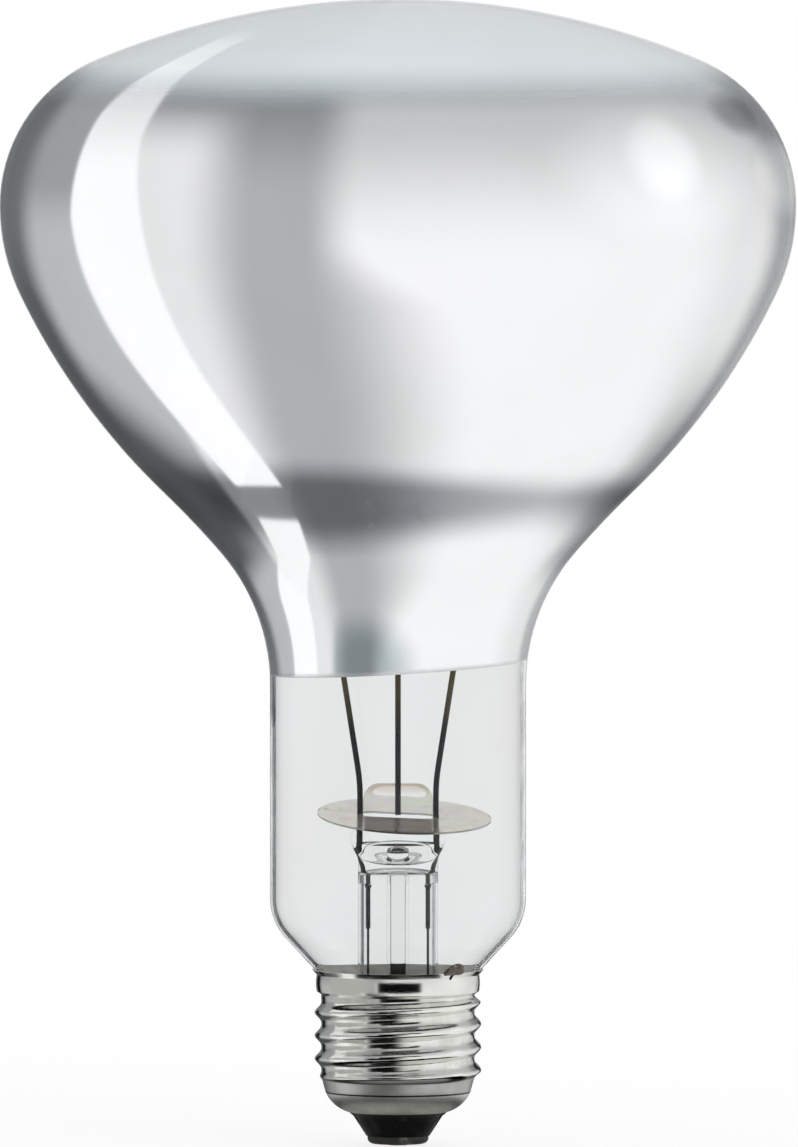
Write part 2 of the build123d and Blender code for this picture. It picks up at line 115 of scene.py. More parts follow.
class BulbSizes(bpy.types.PropertyGroup):
    """Blown glass bulb and the mirror film on its inner wall."""

    bulb_diameter: length("Bulb diameter", "Widest part of the glass", glass_high.y - glass_low.y - 2 * HAIR)
    lamp_length: length("Lamp length", "Height of the middle of the face", glass_high.z - HAIR)
    seal_height: length("Seal height", "Lowest edge of the glass, inside the cap", glass_low.z)
    face_radius: length("Face radius", "Arc of the front face", 0.1225)
    face_edge_radius: length("Face edge radius", "Arc between the face and the widest ring", 0.025)
    bowl_edge_radius: length("Bowl edge radius", "Arc between the widest ring and the bowl", 0.032)
    bowl_depth: length("Bowl depth", "From the widest ring down to the top of the neck", 0.0752)
    bowl_bulge: turn("Bowl bulge", "How far the bowl's wall bulges from a straight side", 7.4)
    throat_radius: length("Throat radius", "Long hollow arc between the bowl and the neck bend", 0.14)
    throat_turn: turn("Throat turn", "How far the throat turns", 5.3)
    neck_bend_radius: length("Neck bend radius", "Hollow arc at the top of the neck", 0.0318)
    neck_diameter: length("Neck diameter", "Straight clear neck", 0.0402)
    neck_length: length("Neck length", "Straight stretch of the neck", 0.0336)
    base_edge_radius: length("Base edge radius", "Arc between the neck and the cone", 0.009)
    base_cone_angle: turn("Base cone angle", "Lean of the cone that sits in the cap", 43)
    seal_diameter: length("Seal diameter", "Glass inside the cap", 0.0218)
    glass_wall: length("Glass wall", "Thickness of the blown glass", 0.0009)
    film_gap: length("Film gap", "Clearance that keeps the film's surface apart from the glass", 0.00002)
    film_thickness: length("Film thickness", "Mirror film", 0.00006)
    film_top: length("Film top", "Height of the film's edge at the face", film_high.z)
    film_fade: length("Film fade", "Height over which the film thins out towards the face", 0.004)
    film_neck_gap: length("Film neck gap", "From the top of the neck up to the film's lower edge", 0.0027)
    film_edge_tilt: turn("Film edge tilt", "Slant of the film's lower edge", 3.3)
    round_steps: count("Round steps", "Faces round the bulb", 224)
    film_rings: count("Film rings", "Faces up the film", 120)


class StemSizes(bpy.types.PropertyGroup):
    """Glass stem with its press, tongue and exhaust tube."""

    tube_diameter: length("Tube diameter", "Stem tube", 0.0126)
    tube_wall: length("Tube wall", "Glass of the stem tube", 0.0009)
    tube_length: length("Tube length", "From the foot up to the press", 0.0230)
    flare_rim: length("Flare rim", "Radius of the flared foot", stem_high.x)
    press_rise: length("Press rise", "Height over which the tube is pressed flat", 0.0033)
    press_height: length("Press height", "Flat stretch of the press", 0.0020)
    press_width: length("Press width", "Press from side to side", 0.015)
    press_thickness: length("Press thickness", "Press from front to back", 0.0042)
    tongue_width: length("Tongue width", "Tongue above the press", 0.0109)
    tongue_edge: length("Tongue edge", "Rounding of the tongue's top", 0.0013)
    tongue_corner: length("Tongue corner", "Rounding of the tongue's top from side to side", 0.0026)
    dome_drop: length("Dome drop", "Foot of the bore's domed end below the press", 0.0022)
    dome_rise: length("Dome rise", "Domed end of the tube's bore", 0.0011)
    pocket_width: length("Pocket width", "Air pocket in the press, from side to side", 0.0105)
    pocket_height: length("Pocket height", "Air pocket in the press", 0.0040)
    pocket_depth: length("Pocket depth", "Air pocket in the press, from front to back", 0.0030)
    pocket_rise: length("Pocket rise", "Middle of the pocket above the foot of the press", 0.0012)
    blow_hole_width: length("Blow hole width", "Hole from the pocket to the front", 0.0034)
    blow_hole_height: length("Blow hole height", "Hole from the pocket to the front", 0.0018)
    exhaust_diameter: length("Exhaust diameter", "Exhaust tube", 0.0035)
    exhaust_bore: length("Exhaust bore", "Inside of the exhaust tube", 0.0022)
    exhaust_tip_wall: length("Exhaust tip wall", "Glass at the melted tip", 0.0015)
    exhaust_gap: length("Exhaust gap", "From the exhaust tube up to the end of the bore", 0.0003)
    exhaust_steps: count("Exhaust steps", "Faces round the exhaust tube", 48)
    round_steps: count("Round steps", "Faces round the stem", 96)


class CapSizes(bpy.types.PropertyGroup):
    """Rolled screw shell."""

    crest_diameter: length("Crest diameter", "Over the crests of the thread", 0.0262)
    root_diameter: length("Root diameter", "Over the roots of the thread", 0.0241)
    pitch: length("Pitch", "Rise of the thread in one turn", 0.003629)
    first_crest: length("First crest", "Height of a crest on the +X side", 0.0227)
    thread_bottom: length("Thread bottom", "Lower end of the thread", 0.0092)
    thread_top: length("Thread top", "Upper end of the thread", 0.023716)
    thread_fade: length("Thread fade", "Run-out at each end of the thread", 0.0014)
    thread_end: length("Thread end", "Height at which the thread has run out", 0.0102)
    taper_top: length("Taper top", "Height from which the shell narrows to the cup", 0.0108)
    crest_sharpness: share("Crest sharpness", "Above 1 the crests are narrower than the roots", 1.35)
    skirt_diameter: length("Skirt diameter", "Plain band above the thread", 0.0258)
    skirt_step: length("Skirt step", "From the thread up to the skirt", 0.0005)
    skirt_bulge: length("Skirt bulge", "How far the plain band bulges", 0.00013)
    lip_diameter: length("Lip diameter", "Flared rim", shell_high.x - shell_low.x)
    lip_height: length("Lip height", "Flared rim", 0.0008)
    sheet: length("Sheet", "Thickness of the metal", 0.0003)
    cup_diameter: length("Cup diameter", "Top of the round bottom", 0.0228)
    cup_height: length("Cup height", "Round bottom", 0.00315)
    cup_sag: length("Cup sag", "Bulge of the round bottom", 0.00055)
    cup_hole_diameter: length("Cup hole diameter", "Opening for the insulator", 0.0156)
    thread_rings: count("Thread rings", "Faces up the thread", 84)
    round_steps: count("Round steps", "Faces round the cap", 144)


class CoilSizes(bpy.types.PropertyGroup):
    """Wound filament on its half ring."""

    ring_diameter: length("Ring diameter", "Half ring that the coil follows", 0.028)
    coil_diameter: length("Coil diameter", "Over the turns", coil_high.z - coil_low.z)
    overhang: length("Overhang", "Straight end past each lead", 0.0016)
    wire_diameter: length("Wire diameter", "Tungsten wire", 0.00017)
    turns: count("Turns", "Turns in the whole coil", 108)
    points_per_turn: count("Points per turn", "Smoothness of a turn", 14)


class LampColours(bpy.types.PropertyGroup):
    """Colours of the lamp's finishes."""

    glass: colour("Glass", "Clear blown glass", (0.985, 0.99, 0.99))
    glass_thick: colour("Thick glass", "Glass where the batch is greener", (0.965, 0.978, 0.974))
    glass_neck: colour("Neck glass", "Faintly grey glass of the neck", (0.885, 0.9, 0.9))
    glass_neck_thick: colour("Thick neck glass", "Neck where the batch is warmer", (0.885, 0.888, 0.88))
    glass_face: colour("Face glass", "Pale satin glass of the face", (0.83, 0.9, 0.94))
    glass_face_thick: colour("Thick face glass", "Satin glass where it is greyer", (0.81, 0.875, 0.9))
    glass_browned: colour("Browned glass", "Top of the tongue", (0.74, 0.64, 0.55))
    glass_stem: colour("Stem glass", "Clear drawn glass", (0.99, 0.993, 0.992))
    mirror: colour("Mirror", "Vapour-deposited film", (0.95, 0.945, 0.955))
    mirror_edge: colour("Mirror edge", "Thin edge of the film", (0.66, 0.67, 0.68))
    # Painted dark reflection on the film by the neck, in place of a darker mirrored surrounding
    mirror_reflection_tone: colour("Mirror stain", "Dark patch by the neck", (0.34, 0.42, 0.44))
    mica: colour("Mica", "Heat shield", (0.93, 0.89, 0.83))
    mica_pale: colour("Pale mica", "Paler sheets of the shield", (0.96, 0.94, 0.9))
    mica_stain: colour("Mica stain", "Brown specks of the shield", (0.5, 0.4, 0.3))
    # Painted dark reflection in the mica between the leads, and the darker lines along its edges
    mica_reflection_tone: colour("Mica shade", "Heated stretch between the leads", (0.12, 0.085, 0.07))
    mica_reflection_edge: colour("Mica line", "Dark edge of the heated stretch", (0.1, 0.075, 0.06))
    wire: colour("Wire", "Nickel wire dulled by heat", (0.014, 0.016, 0.02))
    wire_heat: colour("Wire heat", "Straw tint where the wire ran hot", (0.16, 0.12, 0.05))
    copper: colour("Copper", "Thin leads", (0.06, 0.042, 0.03))
    copper_dull: colour("Dull copper", "Tarnish on the thin leads", (0.02, 0.018, 0.016))
    tungsten: colour("Tungsten", "Coil", (0.34, 0.34, 0.36))
    tungsten_dark: colour("Dark tungsten", "Crystal grain of the coil", (0.2, 0.2, 0.22))
    nickel: colour("Nickel", "Plated shell", (0.8, 0.8, 0.765))
    nickel_dull: colour("Dull nickel", "Tarnish in the roots of the thread", (0.6, 0.6, 0.56))
    # Darker band low on the shell, just above the cup
    nickel_low_band: colour("Worn nickel", "Plain band under the thread", (0.4, 0.4, 0.375))
    # Painted shade line along the fold at the cup's edge
    fold_shade: colour("Dirt", "Line of dirt at the cup's edge", (0.02, 0.02, 0.02))
    black_glass: colour("Black glass", "Insulator", (0.004, 0.004, 0.0045))
    dust: colour("Dust", "Pale film of dust", (0.03, 0.03, 0.029))
    contact: colour("Contact", "Centre contact", (0.07, 0.069, 0.065))
    contact_worn: colour("Worn contact", "Rubbed bright", (0.16, 0.157, 0.148))
    solder: colour("Solder", "Set solder", (0.42, 0.39, 0.36))
    flux: colour("Flux", "Brown flux on the solder", (0.085, 0.065, 0.05))
    cement: colour("Cement", "Baked cement", (0.97, 0.95, 0.92))
    cement_dark: colour("Dark cement", "Scorched cement", (0.86, 0.8, 0.73))
    floor: colour("Floor", "Studio floor", (0.92, 0.92, 0.92))


class StudioSizes(bpy.types.PropertyGroup):
    """Camera, floor and lamps of the studio."""

    camera_distance: length("Camera distance", "From the lamp's axis", 4.5)
    camera_lift: turn("Camera lift", "Height of the view above level", 3)
    aim_height: length("Aim height", "Height at the middle of the picture", 0.08983)
    aim_side: length("Aim side", "Offset to the right at the middle of the picture", 0.00016)
    view_height: length("View height", "Height that the picture covers at the lamp", 0.1799)
    sensor_width: length("Sensor width", "Width of the camera's film", 0.036)
    floor_size: length("Floor size", "Side of the floor", 6.0)
    key_power: power("Key power", "Soft lamp above and to the right", 6.0)
    key_size: length("Key size", "Width of the soft lamp", 1.2)
    key_place: position("Key place", "Middle of the soft lamp", (0.9, -1.1, 1.3))


class Socket:
    """An output in a node tree. Arithmetic on it adds Math nodes."""

    def __init__(self, bench, node, output=0):
        self.bench = bench
        self.node = node
        self.output = node.outputs[output] if node.outputs else None

    def out(self, name):
        """Another output of the same node."""
        return Socket(self.bench, self.node, name)

    def __add__(self, other):
        return self.bench.math("ADD", self, other)

    def __radd__(self, other):
        return self.bench.math("ADD", other, self)

    def __sub__(self, other):
        return self.bench.math("SUBTRACT", self, other)

    def __rsub__(self, other):
        return self.bench.math("SUBTRACT", other, self)

    def __mul__(self, other):
        return self.bench.math("MULTIPLY", self, other)

    def __rmul__(self, other):
        return self.bench.math("MULTIPLY", other, self)

    def __truediv__(self, other):
        return self.bench.math("DIVIDE", self, other)

    def __rtruediv__(self, other):
        return self.bench.math("DIVIDE", other, self)

    def __pow__(self, other):
        return self.bench.math("POWER", self, other)

    def __neg__(self):
        return self.bench.math("MULTIPLY", self, -1.0)


class Bench:
    """Adds nodes to one tree, of a material, the world or Geometry Nodes."""

    def __init__(self, tree):
        self.tree = tree

    def node(self, kind, settings=None, inputs=None, output=0):
        """A node with its settings made first, then the values or links of its sockets."""
        node = self.tree.nodes.new(kind)
        for name, value in (settings or {}).items():
            setattr(node, name, value)
        for name, value in (inputs or {}).items():
            self.feed(node.inputs[name], value)
        return Socket(self, node, output)

    def feed(self, socket, value):
        """Links a socket to an output, or sets its value."""
        if isinstance(value, Socket):
            self.tree.links.new(value.output, socket)
        elif socket.type == "RGBA":
            socket.default_value = (*value[:3], 1.0)
        else:
            socket.default_value = value

    def math(self, operation, *values):
        """A Math node on values or outputs."""
        return self.node("ShaderNodeMath", {"operation": operation}, dict(enumerate(values)))

    def vector(self, operation, *values):
        """A Vector Math node on vectors."""
        return self.node("ShaderNodeVectorMath", {"operation": operation}, dict(enumerate(values)))

    def parts(self, vector):
        """X, Y and Z of a vector."""
        node = self.node("ShaderNodeSeparateXYZ", None, {"Vector": vector})
        return node.out("X"), node.out("Y"), node.out("Z")

    def ramp(self, value, start, end):
        """Rises smoothly from 0 at start to 1 at end."""
        return self.node(
            "ShaderNodeMapRange",
            {"interpolation_type": "SMOOTHSTEP"},
            {"Value": value, "From Min": start, "From Max": end},
        )

    def mix(self, factor, first, second):
        """First colour at 0, second at 1."""
        return self.node("ShaderNodeMix", {"data_type": "RGBA"}, {0: factor, 6: first, 7: second}, output=2)

    def blend(self, factor, first, second):
        """First shader at 0, second at 1."""
        return self.node("ShaderNodeMixShader", None, {0: factor, 1: first, 2: second})

    def noise(self, place, scale, detail=3.0, roughness=0.5):
        """Soft noise, about 0 to 1."""
        grain = {"Scale": scale, "Detail": detail, "Roughness": roughness}
        return self.node("ShaderNodeTexNoise", None, {"Vector": place, **grain})

    def stretched(self, place, scale):
        """Object coordinates stretched along an axis."""
        return self.node("ShaderNodeMapping", None, {"Vector": place, "Scale": scale})

    def bump(self, height, distance):
        """Normal from a height."""
        return self.node("ShaderNodeBump", None, {"Height": height, "Distance": distance, "Strength": 1.0})


def new_material(name):
    """An empty node material. Gives its bench and the lamp's own coordinates."""
    material = bpy.data.materials.new(name)
    material.use_nodes = True
    material.node_tree.nodes.clear()
    bench = Bench(material.node_tree)
    place = bench.node("ShaderNodeTexCoord").out("Object")
    return material, bench, place


def end_in(material, bench, shader):
    """Ends a material in a shader."""
    bench.node("ShaderNodeOutputMaterial", None, {"Surface": shader})
    return material


def finish_material(material, bench, sockets):
    """Ends a material in one Principled shader."""
    return end_in(material, bench, bench.node("ShaderNodeBsdfPrincipled", None, sockets))


def distance_from_axis(bench, place):
    """How far a point lies from the lamp's axis, and its height."""
    across, deep, height = bench.parts(place)
    return bench.math("SQRT", across * across + deep * deep), height


def glass_shader(bench, place, tone, roughness, wave_height, bend, gloss):
    """Clear glass with faint waves, a bend of the light and an outer gloss."""
    waves = bench.noise(place, 75.0, 1.0, 0.4)
    return bench.node("ShaderNodeBsdfPrincipled", None, {
        "Base Color": tone,
        "Roughness": roughness,
        "IOR": bend,
        "Transmission Weight": 1.0,
        "Coat Weight": gloss,
        "Coat Roughness": 0.02,
        "Normal": bench.bump(waves, wave_height),
    })


def bulb_glass_material(colours, edge_height, edge_slope, film_top):
    """Blown glass: thin and plain in the neck, and satin under its gloss over the face."""
    material, bench, place = new_material("bulb glass")
    across, _, height = bench.parts(place)
    batch = bench.ramp(bench.noise(place, 38.0, 2.0), 0.35, 0.7)
    roughness = 0.003 + 0.006 * batch
    wave_height = 0.00002
    tone = bench.mix(batch, colours.glass, colours.glass_thick)
    thick = glass_shader(bench, place, tone, roughness, wave_height, bend=1.49, gloss=0.0)
    tone = bench.mix(batch, colours.glass_neck, colours.glass_neck_thick)
    thin = glass_shader(bench, place, tone, roughness, wave_height, bend=1.06, gloss=0.25)
    satin = bench.node("ShaderNodeBsdfPrincipled", None, {
        "Base Color": bench.mix(batch, colours.glass_face, colours.glass_face_thick),
        "Roughness": 0.4 + 0.1 * batch,
        "Coat Weight": 1.0,
        "Coat Roughness": 0.02,
    })
    neck = 1.0 - bench.ramp(height - edge_height - edge_slope * across, 0.0, 0.0002)
    face = bench.ramp(height, film_top - 0.0085, film_top - 0.0005)
    return end_in(material, bench, bench.blend(0.72 * face, bench.blend(neck, thick, thin), satin))


def stem_glass_material(colours, press_bottom, press_top):
    """Drawn glass of the stem: bends the light most in its press, and is browned at the tongue's top."""
    material, bench, place = new_material("stem glass")
    _, _, height = bench.parts(place)
    batch = bench.ramp(bench.noise(place, 160.0, 4.0), 0.55, 0.8)
    browned = bench.ramp(height, stem_high.z - 0.0022, stem_high.z - 0.0006)
    tone = bench.mix(batch, colours.glass_stem, colours.glass_thick)
    tone = bench.mix(0.8 * browned, tone, colours.glass_browned)
    roughness = 0.002 + 0.012 * batch
    wave_height = 0.00004
    thick = glass_shader(bench, place, tone, roughness, wave_height, bend=1.2, gloss=0.15)
    thin = glass_shader(bench, place, tone, roughness, wave_height, bend=1.1, gloss=0.15)
    press = bench.ramp(height, press_bottom - 0.0036, press_bottom - 0.0034)
    press = press * (1.0 - bench.ramp(height, press_top + 0.0008, press_top + 0.001))
    return end_in(material, bench, bench.blend(press, thin, thick))


def mirror_material(colours, edge_height, edge_slope, sizes):
    """Silver film: thins out towards the face, and is grey along its slanting lower edge, with a painted
    dark reflection near it at the front.
    """
    material, bench, place = new_material("mirror film")
    across, _, height = bench.parts(place)
    ragged = bench.noise(place, 900.0, 2.0)
    above_edge = height - edge_height - edge_slope * across
    thin = 1.0 - bench.ramp(above_edge + 0.0003 * ragged, 0.0002, 0.0011)
    # The painted dark reflection lies at the front, left of the middle, and ends sharply on its left
    painted_reflection_middle = (-0.0058, -sizes.neck_diameter / 2, edge_height + 0.001)
    away = bench.vector("DISTANCE", place, painted_reflection_middle).out("Value")
    painted_reflection = (1.0 - bench.ramp(away, 0.0034, 0.0105)) * bench.ramp(across, -0.0106, -0.0092)
    cloud = bench.ramp(bench.noise(place, 30.0, 3.0), 0.3, 0.75)
    waves = bench.noise(place, 26.0, 1.0, 0.4)
    cover = 1.0 - bench.ramp(height, sizes.film_top - sizes.film_fade, sizes.film_top)
    tone = bench.mix(0.85 * painted_reflection, colours.mirror, colours.mirror_reflection_tone)
    return finish_material(material, bench, {
        "Base Color": bench.mix(thin, tone, colours.mirror_edge),
        "Metallic": 1.0,
        "Roughness": 0.045 + 0.03 * cloud + 0.2 * thin,
        "Alpha": cover ** 1.8,
        "Normal": bench.bump(waves, 0.00002),
    })


def mica_material(colours):
    """Mica sheet: glossy, with flakes, pale sheets and brown specks, and a painted dark reflection between
    the leads.
    """
    material, bench, place = new_material("mica sheet")
    cells = bench.node("ShaderNodeTexVoronoi", {"feature": "F1"}, {"Vector": place, "Scale": 420.0})
    sheet = bench.noise(place, 210.0, 5.0, 0.62)
    speck = bench.ramp(bench.noise(place, 520.0, 2.0), 0.66, 0.74)
    tone = bench.mix(0.12, colours.mica, cells.out("Color"))
    tone = bench.mix(bench.ramp(sheet, 0.4, 0.75), tone, colours.mica_pale)
    tone = bench.mix(speck, tone, colours.mica_stain)
    # Painted dark reflection in front of the tongue, between the leads, with darker lines at its front and
    # back
    across, deep, _ = bench.parts(place)
    front = -deep
    off_middle = bench.math("ABSOLUTE", across) + 0.0008 * sheet
    reflected_stretch = (1.0 - bench.ramp(off_middle, 0.0054, 0.0062)) * bench.ramp(front, 0.0019, 0.0023)
    rear_line = 1.0 - bench.ramp(bench.math("ABSOLUTE", front - 0.0027), 0.0003, 0.0009)
    front_line = bench.ramp(front + 0.001 * sheet, 0.0122, 0.0134)
    line = reflected_stretch * bench.math("MAXIMUM", rear_line, front_line)
    tone = bench.mix(0.9 * reflected_stretch, tone, colours.mica_reflection_tone)
    return finish_material(material, bench, {
        "Base Color": bench.mix(0.85 * line, tone, colours.mica_reflection_edge),
        "Roughness": 0.09 + 0.16 * bench.ramp(sheet, 0.35, 0.7),
        "IOR": 1.03,
        "Transmission Weight": 0.85,
        "Coat Weight": 0.2,
        "Coat Roughness": 0.06,
        "Normal": bench.bump(sheet, 0.00008),
    })


def wire_material(colours):
    """Nickel wire, nearly black, with a straw heat tint towards the coil and fine draw lines."""
    material, bench, place = new_material("nickel wire")
    _, _, height = bench.parts(place)
    patch = bench.noise(place, 420.0, 4.0)
    heat = bench.ramp(height + 0.006 * patch, 0.067, 0.076)
    lines = bench.noise(bench.stretched(place, (1.0, 1.0, 0.05)), 5200.0, 2.0)
    return finish_material(material, bench, {
        "Base Color": bench.mix(0.75 * heat, colours.wire, colours.wire_heat),
        "Roughness": 0.3 + 0.25 * patch,
        "Specular IOR Level": 0.2,
        "Normal": bench.bump(lines, 0.00002),
    })


def copper_material(colours):
    """Thin copper lead, tarnished in patches."""
    material, bench, place = new_material("copper lead")
    patch = bench.noise(place, 700.0, 4.0)
    dull = bench.ramp(patch, 0.38, 0.6)
    return finish_material(material, bench, {
        "Base Color": bench.mix(dull, colours.copper, colours.copper_dull),
        "Metallic": 0.5,
        "Roughness": 0.3 + 0.25 * dull,
        "Normal": bench.bump(patch, 0.00002),
    })


def tungsten_material(colours):
    """Wound tungsten, grey with a crystal grain."""
    material, bench, place = new_material("tungsten coil")
    grain = bench.noise(place, 3000.0, 2.0)
    return finish_material(material, bench, {
        "Base Color": bench.mix(grain, colours.tungsten, colours.tungsten_dark),
        "Metallic": 1.0,
        "Roughness": 0.32 + 0.2 * grain,
    })


def nickel_material(colours, root_radius, crest_radius, cup_top):
    """Plated rolled sheet: bright crests, duller roots, fine lines round the shell and a satin cup, with a
    painted shade line at the cup's edge.
    """
    material, bench, place = new_material("rolled nickel")
    radius, height = distance_from_axis(bench, place)
    patch = bench.noise(place, 260.0, 5.0, 0.6)
    lines = bench.noise(bench.stretched(place, (0.08, 0.08, 1.0)), 9000.0, 2.0)
    satin = 1.0 - bench.ramp(height, cup_top - 0.0002, cup_top + 0.0002)
    # Darker and rougher band low on the shell, just above the cup
    low_band = 1.0 - bench.ramp(height + 0.0006 * patch, cup_top + 0.0022, cup_top + 0.0032)
    deep = 1.0 - bench.ramp(radius + 0.0006 * (patch - 0.5), root_radius, crest_radius)
    dull = bench.math("MINIMUM", 0.7 * deep * bench.ramp(patch, 0.35, 0.7) + 0.15 * patch, 1.0)
    # Painted shade: a thin dark line along the fold at the cup's edge
    fold_shade = 1.0 - bench.ramp(bench.math("ABSOLUTE", height - cup_top), 0.00006, 0.0002)
    tone = bench.mix(dull, colours.nickel, colours.nickel_dull)
    tone = bench.mix(low_band * (1.0 - satin) * (0.75 + 0.25 * patch), tone, colours.nickel_low_band)
    return finish_material(material, bench, {
        "Base Color": bench.mix(fold_shade, tone, colours.fold_shade),
        "Metallic": 1.0,
        "Roughness": 0.1 + 0.1 * dull + 0.04 * lines + 0.2 * low_band + 0.1 * satin,
        "Normal": bench.bump(lines + patch, 0.000006),
    })


def black_glass_material(colours):
    """Moulded black glass, glossy, with a trace of dust."""
    material, bench, place = new_material("black glass")
    dust = bench.ramp(bench.noise(place, 340.0, 5.0, 0.65), 0.5, 0.8)
    ripple = bench.noise(place, 520.0, 2.0)
    return finish_material(material, bench, {
        "Base Color": bench.mix(0.5 * dust, colours.black_glass, colours.dust),
        "Roughness": 0.16 + 0.35 * dust,
        "Specular IOR Level": 0.08,
        "Normal": bench.bump(ripple, 0.00006),
    })


def contact_material(colours):
    """Pressed plate, dull grey and rubbed brighter in rings."""
    material, bench, place = new_material("contact plate")
    radius, _ = distance_from_axis(bench, place)
    patch = bench.noise(place, 600.0, 4.0)
    rings = bench.math("SINE", radius * 9000.0)
    rubbed = bench.ramp(patch + rings * 0.08, 0.48, 0.68)
    return finish_material(material, bench, {
        "Base Color": bench.mix(rubbed, colours.contact, colours.contact_worn),
        "Metallic": 0.85,
        "Roughness": 0.5 - 0.18 * rubbed,
        "Normal": bench.bump(patch, 0.00003),
    })


def solder_material(name, colours, flux_start, flux_end):
    """Set solder, dull and pitted, under more or less brown flux."""
    material, bench, place = new_material(name)
    patch = bench.noise(place, 900.0, 4.0, 0.6)
    flux = bench.ramp(patch, flux_start, flux_end)
    return finish_material(material, bench, {
        "Base Color": bench.mix(flux, colours.solder, colours.flux),
        "Metallic": 0.9 - 0.85 * flux,
        "Roughness": 0.34 + 0.2 * flux,
        "Normal": bench.bump(patch, 0.00012),
    })


def cement_material(colours):
    """Baked cement, grainy and scorched in places."""
    material, bench, place = new_material("baked cement")
    grain = bench.noise(place, 2400.0, 4.0, 0.7)
    scorch = bench.ramp(bench.noise(place, 330.0, 3.0), 0.42, 0.66)
    return finish_material(material, bench, {
        "Base Color": bench.mix(scorch, colours.cement, colours.cement_dark),
        "Roughness": 0.75 + 0.2 * grain,
        "Normal": bench.bump(grain, 0.00008),
    })


def add_object(name, data):
    """An object at the origin of the scene."""
    added = bpy.data.objects.new(name, data)
    bpy.context.scene.collection.objects.link(added)
    return added


def mesh_from(work, name):
    """Ends an edit in a new mesh."""
    mesh = bpy.data.meshes.new(name)
    work.to_mesh(mesh)
    work.free()
    return mesh


def evaluated_mesh(maker, name):
    """The plain mesh that an object's modifiers make."""
    graph = bpy.context.evaluated_depsgraph_get()
    mesh = bpy.data.meshes.new_from_object(maker.evaluated_get(graph), depsgraph=graph)
    mesh.name = name
    return mesh


def smooth(mesh, sharp_degrees):
    """Smooth shading, with edges past an angle kept sharp."""
    if "custom_normal" in mesh.attributes:
        mesh.attributes.remove(mesh.attributes["custom_normal"])
    mesh.shade_smooth()
    mesh.set_sharp_from_angle(angle=radians(sharp_degrees))


def weld(mesh):
    """Merges doubled points and turns the faces of a closed shell outwards."""
    work = bmesh.new()
    work.from_mesh(mesh)
    bmesh.ops.remove_doubles(work, verts=work.verts, dist=MERGE_DISTANCE)
    bmesh.ops.dissolve_degenerate(work, edges=work.edges, dist=MERGE_DISTANCE / 4)
    bmesh.ops.recalc_face_normals(work, faces=work.faces)
    work.to_mesh(mesh)
    work.free()


def add_piece(name, mesh, material, node):
    """Puts a finished mesh in the lamp in place of a CAD node."""
    mesh.materials.clear()
    mesh.materials.append(material)
    piece = add_object(name, mesh)
    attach(piece, BODY)
    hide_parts(node)


def smooth_copy(node, name, material, sharp_degrees):
    """A piece with the form of a CAD node, merged and smoothly shaded."""
    work = bmesh.new()
    work.from_mesh(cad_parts[node].data)
    bmesh.ops.remove_doubles(work, verts=work.verts, dist=MERGE_DISTANCE)
    mesh = mesh_from(work, name)
    smooth(mesh, sharp_degrees)
    add_piece(name, mesh, material, node)


def polar(centre, radius, angle):
    """Point at a radius and an angle in degrees from a centre."""
    return (centre[0] + radius * cos(radians(angle)), centre[1] + radius * sin(radians(angle)))


def bearing(start, end):
    """Angle in degrees of the line from one point to another."""
    return degrees(atan2(end[1] - start[1], end[0] - start[0]))


def arc(centre, radius, start, end, spacing):
    """Points along an arc, without its last one."""
    steps = max(3, round(radius * radians(abs(end - start)) / spacing))
    return [polar(centre, radius, start + (end - start) * step / steps) for step in range(steps)]


def straight(start, end, steps):
    """Points along a straight run, without its last one."""
    return [
        (start[0] + (end[0] - start[0]) * step / steps, start[1] + (end[1] - start[1]) * step / steps)
        for step in range(steps)
    ]


